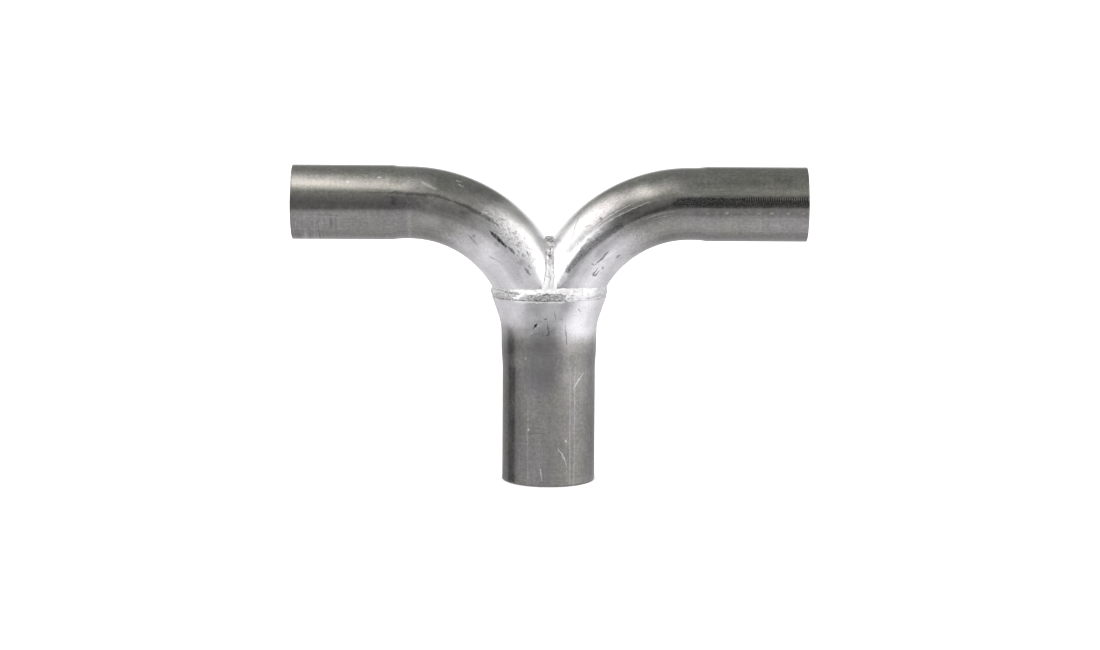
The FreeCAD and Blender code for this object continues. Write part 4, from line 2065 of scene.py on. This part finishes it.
    def panel_material(self) -> bpy.types.Material:
        """Makes the light panel's material: bright over the left-hand side and dim over the right.

        Returns:
            The material.
        """
        material, wiring, _ = new_material("LightPanel")
        x, y, _ = wiring.split(wiring.position())
        bright = wiring.curve(x, {
            -1.6: 1.4, -0.9: 1.6, -0.58: 1.75, -0.38: 0.9, -0.32: 1.0, -0.28: 2.5, -0.25: 2.4, -0.2: 1.5,
            -0.15: 0.95, -0.07: 0.62, 0.04: 0.42, 0.14: 0.21, 0.28: 0.20, 0.57: 0.34, 0.9: 1.15, 1.4: 1.3,
        })
        middle = wiring.curve(x, {
            -0.6: 1.0, -0.31: 0.9, -0.27: 0.82, -0.2: 0.62, -0.15: 0.6, -0.05: 0.8, 0.05: 0.6, 0.12: 0.0,
            0.3: 0.0, 0.5: 0.5,
        })
        middle = wiring.math("SUBTRACT", middle, 1.2)
        width = wiring.remap(wiring.math("ABSOLUTE", x), 0.3, 0.6, 0.48, 0.80)
        gone = wiring.math("DIVIDE", wiring.math("SUBTRACT", y, middle), width)
        lamp = wiring.product(bright, wiring.math("EXPONENT", wiring.product(gone, gone, -1.0)))
        dim = wiring.remap(x, -0.05, 0.2, self.panel_dim, self.panel_dim * 0.85)
        far = wiring.remap(y, -1.9, -1.5, 0.3, 1.0)
        dim = wiring.math("MULTIPLY", dim, wiring.blend(wiring.remap(x, 0.0, 0.1), 1.0, far))
        lamp_share = wiring.remap(lamp, 0.1, 1.6)
        tint = wiring.blend_colour(lamp_share, (0.99, 1.01, 0.945, 1), (1.04, 1.0, 0.97, 1))
        level = wiring.math("ADD", lamp, dim)
        glow = wiring.node("ShaderNodeEmission", Color=tint, Strength=level)
        wiring.feed(material.node_tree.nodes["Material Output"].inputs["Surface"], glow.outputs["Emission"])
        return material

    def add_panel(self) -> None:
        """Hangs the light panel where only the steel's reflections see it."""
        panel = self.add_sheet("LightPanel", self.panel_reach, self.panel_height, self.panel_material())
        panel.visible_camera = False
        panel.visible_diffuse = False
        panel.visible_transmission = False
        panel.visible_volume_scatter = False
        panel.visible_shadow = False

    def add_camera(self) -> None:
        """Adds the camera at the photograph's viewing angle."""
        data = bpy.data.cameras.new("Camera")
        data.sensor_width = self.sensor
        data.lens = self.sensor * self.focal_pixels / self.frame_width
        data.clip_end = 100.0
        camera = bpy.data.objects.new("Camera", data)
        turn = Matrix.Rotation(-self.look_right, 4, "Z")
        tilt = Matrix.Rotation(math.pi / 2 - self.look_down, 4, "X") @ Matrix.Rotation(self.roll, 4, "Z")
        camera.matrix_world = Matrix.Translation(Vector(self.camera_place)) @ turn @ tilt
        bpy.context.scene.collection.objects.link(camera)
        bpy.context.scene.camera = camera

    def add_surroundings(self) -> None:
        """Adds the world: even white light, and in the steel a dim front between bright sides."""
        world = bpy.data.worlds.new("Studio")
        bpy.context.scene.world = world
        world.use_nodes = True
        wiring = Wiring(world.node_tree)
        x, y, z = wiring.split(wiring.node("ShaderNodeTexCoord").outputs["Generated"])
        level = wiring.distance(x, y, 0.01)
        sideways = wiring.math("DIVIDE", x, level)
        forward = wiring.remap(wiring.math("DIVIDE", y, level), 0.95, 0.55)
        lowered = wiring.remap(z, 0.10, 0.22, 0.18, 0.0)
        left = wiring.remap(wiring.math("ADD", sideways, lowered), -0.37, -0.48)
        right = wiring.remap(sideways, 0.47, 0.60)
        band = wiring.product(wiring.remap(z, 0.06, 0.16), wiring.remap(z, 0.50, 0.40), forward)
        sides = wiring.product(wiring.math("MAXIMUM", left, right), band, 2.1)
        behind = wiring.curve(z, {0.0: 1.0, 0.16: 1.2, 0.27: 0.9, 0.42: 0.55, 0.5: 0.42})
        front = wiring.product(wiring.remap(y, -0.05, -0.25), wiring.remap(z, 0.62, 0.45))
        dim = wiring.curve(x, {
            -0.3: 0.2, -0.2: 0.10, -0.12: 0.14, -0.09: 0.30, -0.05: 0.31, 0.0: 0.12, 0.05: 0.05, 0.12: 0.05,
            0.3: 0.2,
        })
        dim = wiring.total(dim, wiring.product(z, wiring.remap(x, -0.05, 0.02, 0.25, 0.03)))
        upper_right = wiring.product(wiring.remap(x, 0.01, 0.04), wiring.remap(z, 0.17, 0.25))
        dim = wiring.blend(upper_right, dim, 0.4)
        dim = wiring.blend(wiring.remap(z, 0.40, 0.48), dim, 0.4)
        seen = wiring.math("MAXIMUM", wiring.blend(front, behind, dim), sides)
        lit = wiring.blend(wiring.node("ShaderNodeLightPath").outputs["Is Glossy Ray"], self.sky_white, seen)
        background = world.node_tree.nodes["Background"]
        wiring.feed(background.inputs["Color"], (1, 1, 1, 1))
        wiring.feed(background.inputs["Strength"], lit)

    def build(self) -> None:
        """Sets up the stage and the camera."""
        self.add_sheet("Floor", self.floor_reach, 0.0, self.floor_material())
        self.add_panel()
        self.add_surroundings()
        self.add_camera()
        bpy.context.scene.view_settings.view_transform = "Standard"


def main() -> None:
    """Builds the tee and the studio."""
    logging.basicConfig(level=logging.INFO, format="%(message)s")
    joint = Joint()
    effects = Effects()
    left_steel = TubeFinish(ring_depth=3.0, marks=LEFT_MARKS)
    right_steel = TubeFinish(ring_depth=0.7, ring_reach=80.0, ring_top=2.0, marks=RIGHT_MARKS)
    stem_steel = TubeFinish(
        paint_roughness=0.28, ring_depth=0.5, ring_reach=85.0, ring_top=60.0,
        round_radius=32.0, bore_radius=0.0, marks=STEM_MARKS,
    )
    Branch(Side.LEFT, joint).build(left_steel.material("LeftBranchSteel", effects, branch_paint_mask))
    Branch(Side.RIGHT, joint).build(right_steel.material("RightBranchSteel", effects, branch_paint_mask))
    Stem(joint).build(stem_steel.material("StemSteel", effects, stem_paint_mask))
    CollarBead(joint).build(COLLAR_FINISH.material("CollarWeld", effects, collar_bare_mask))
    CrotchBead(joint).build(CROTCH_FINISH.material("CrotchWeld", effects, crotch_bare_mask))
    Studio().build()


if __name__ == "__main__":
    main()
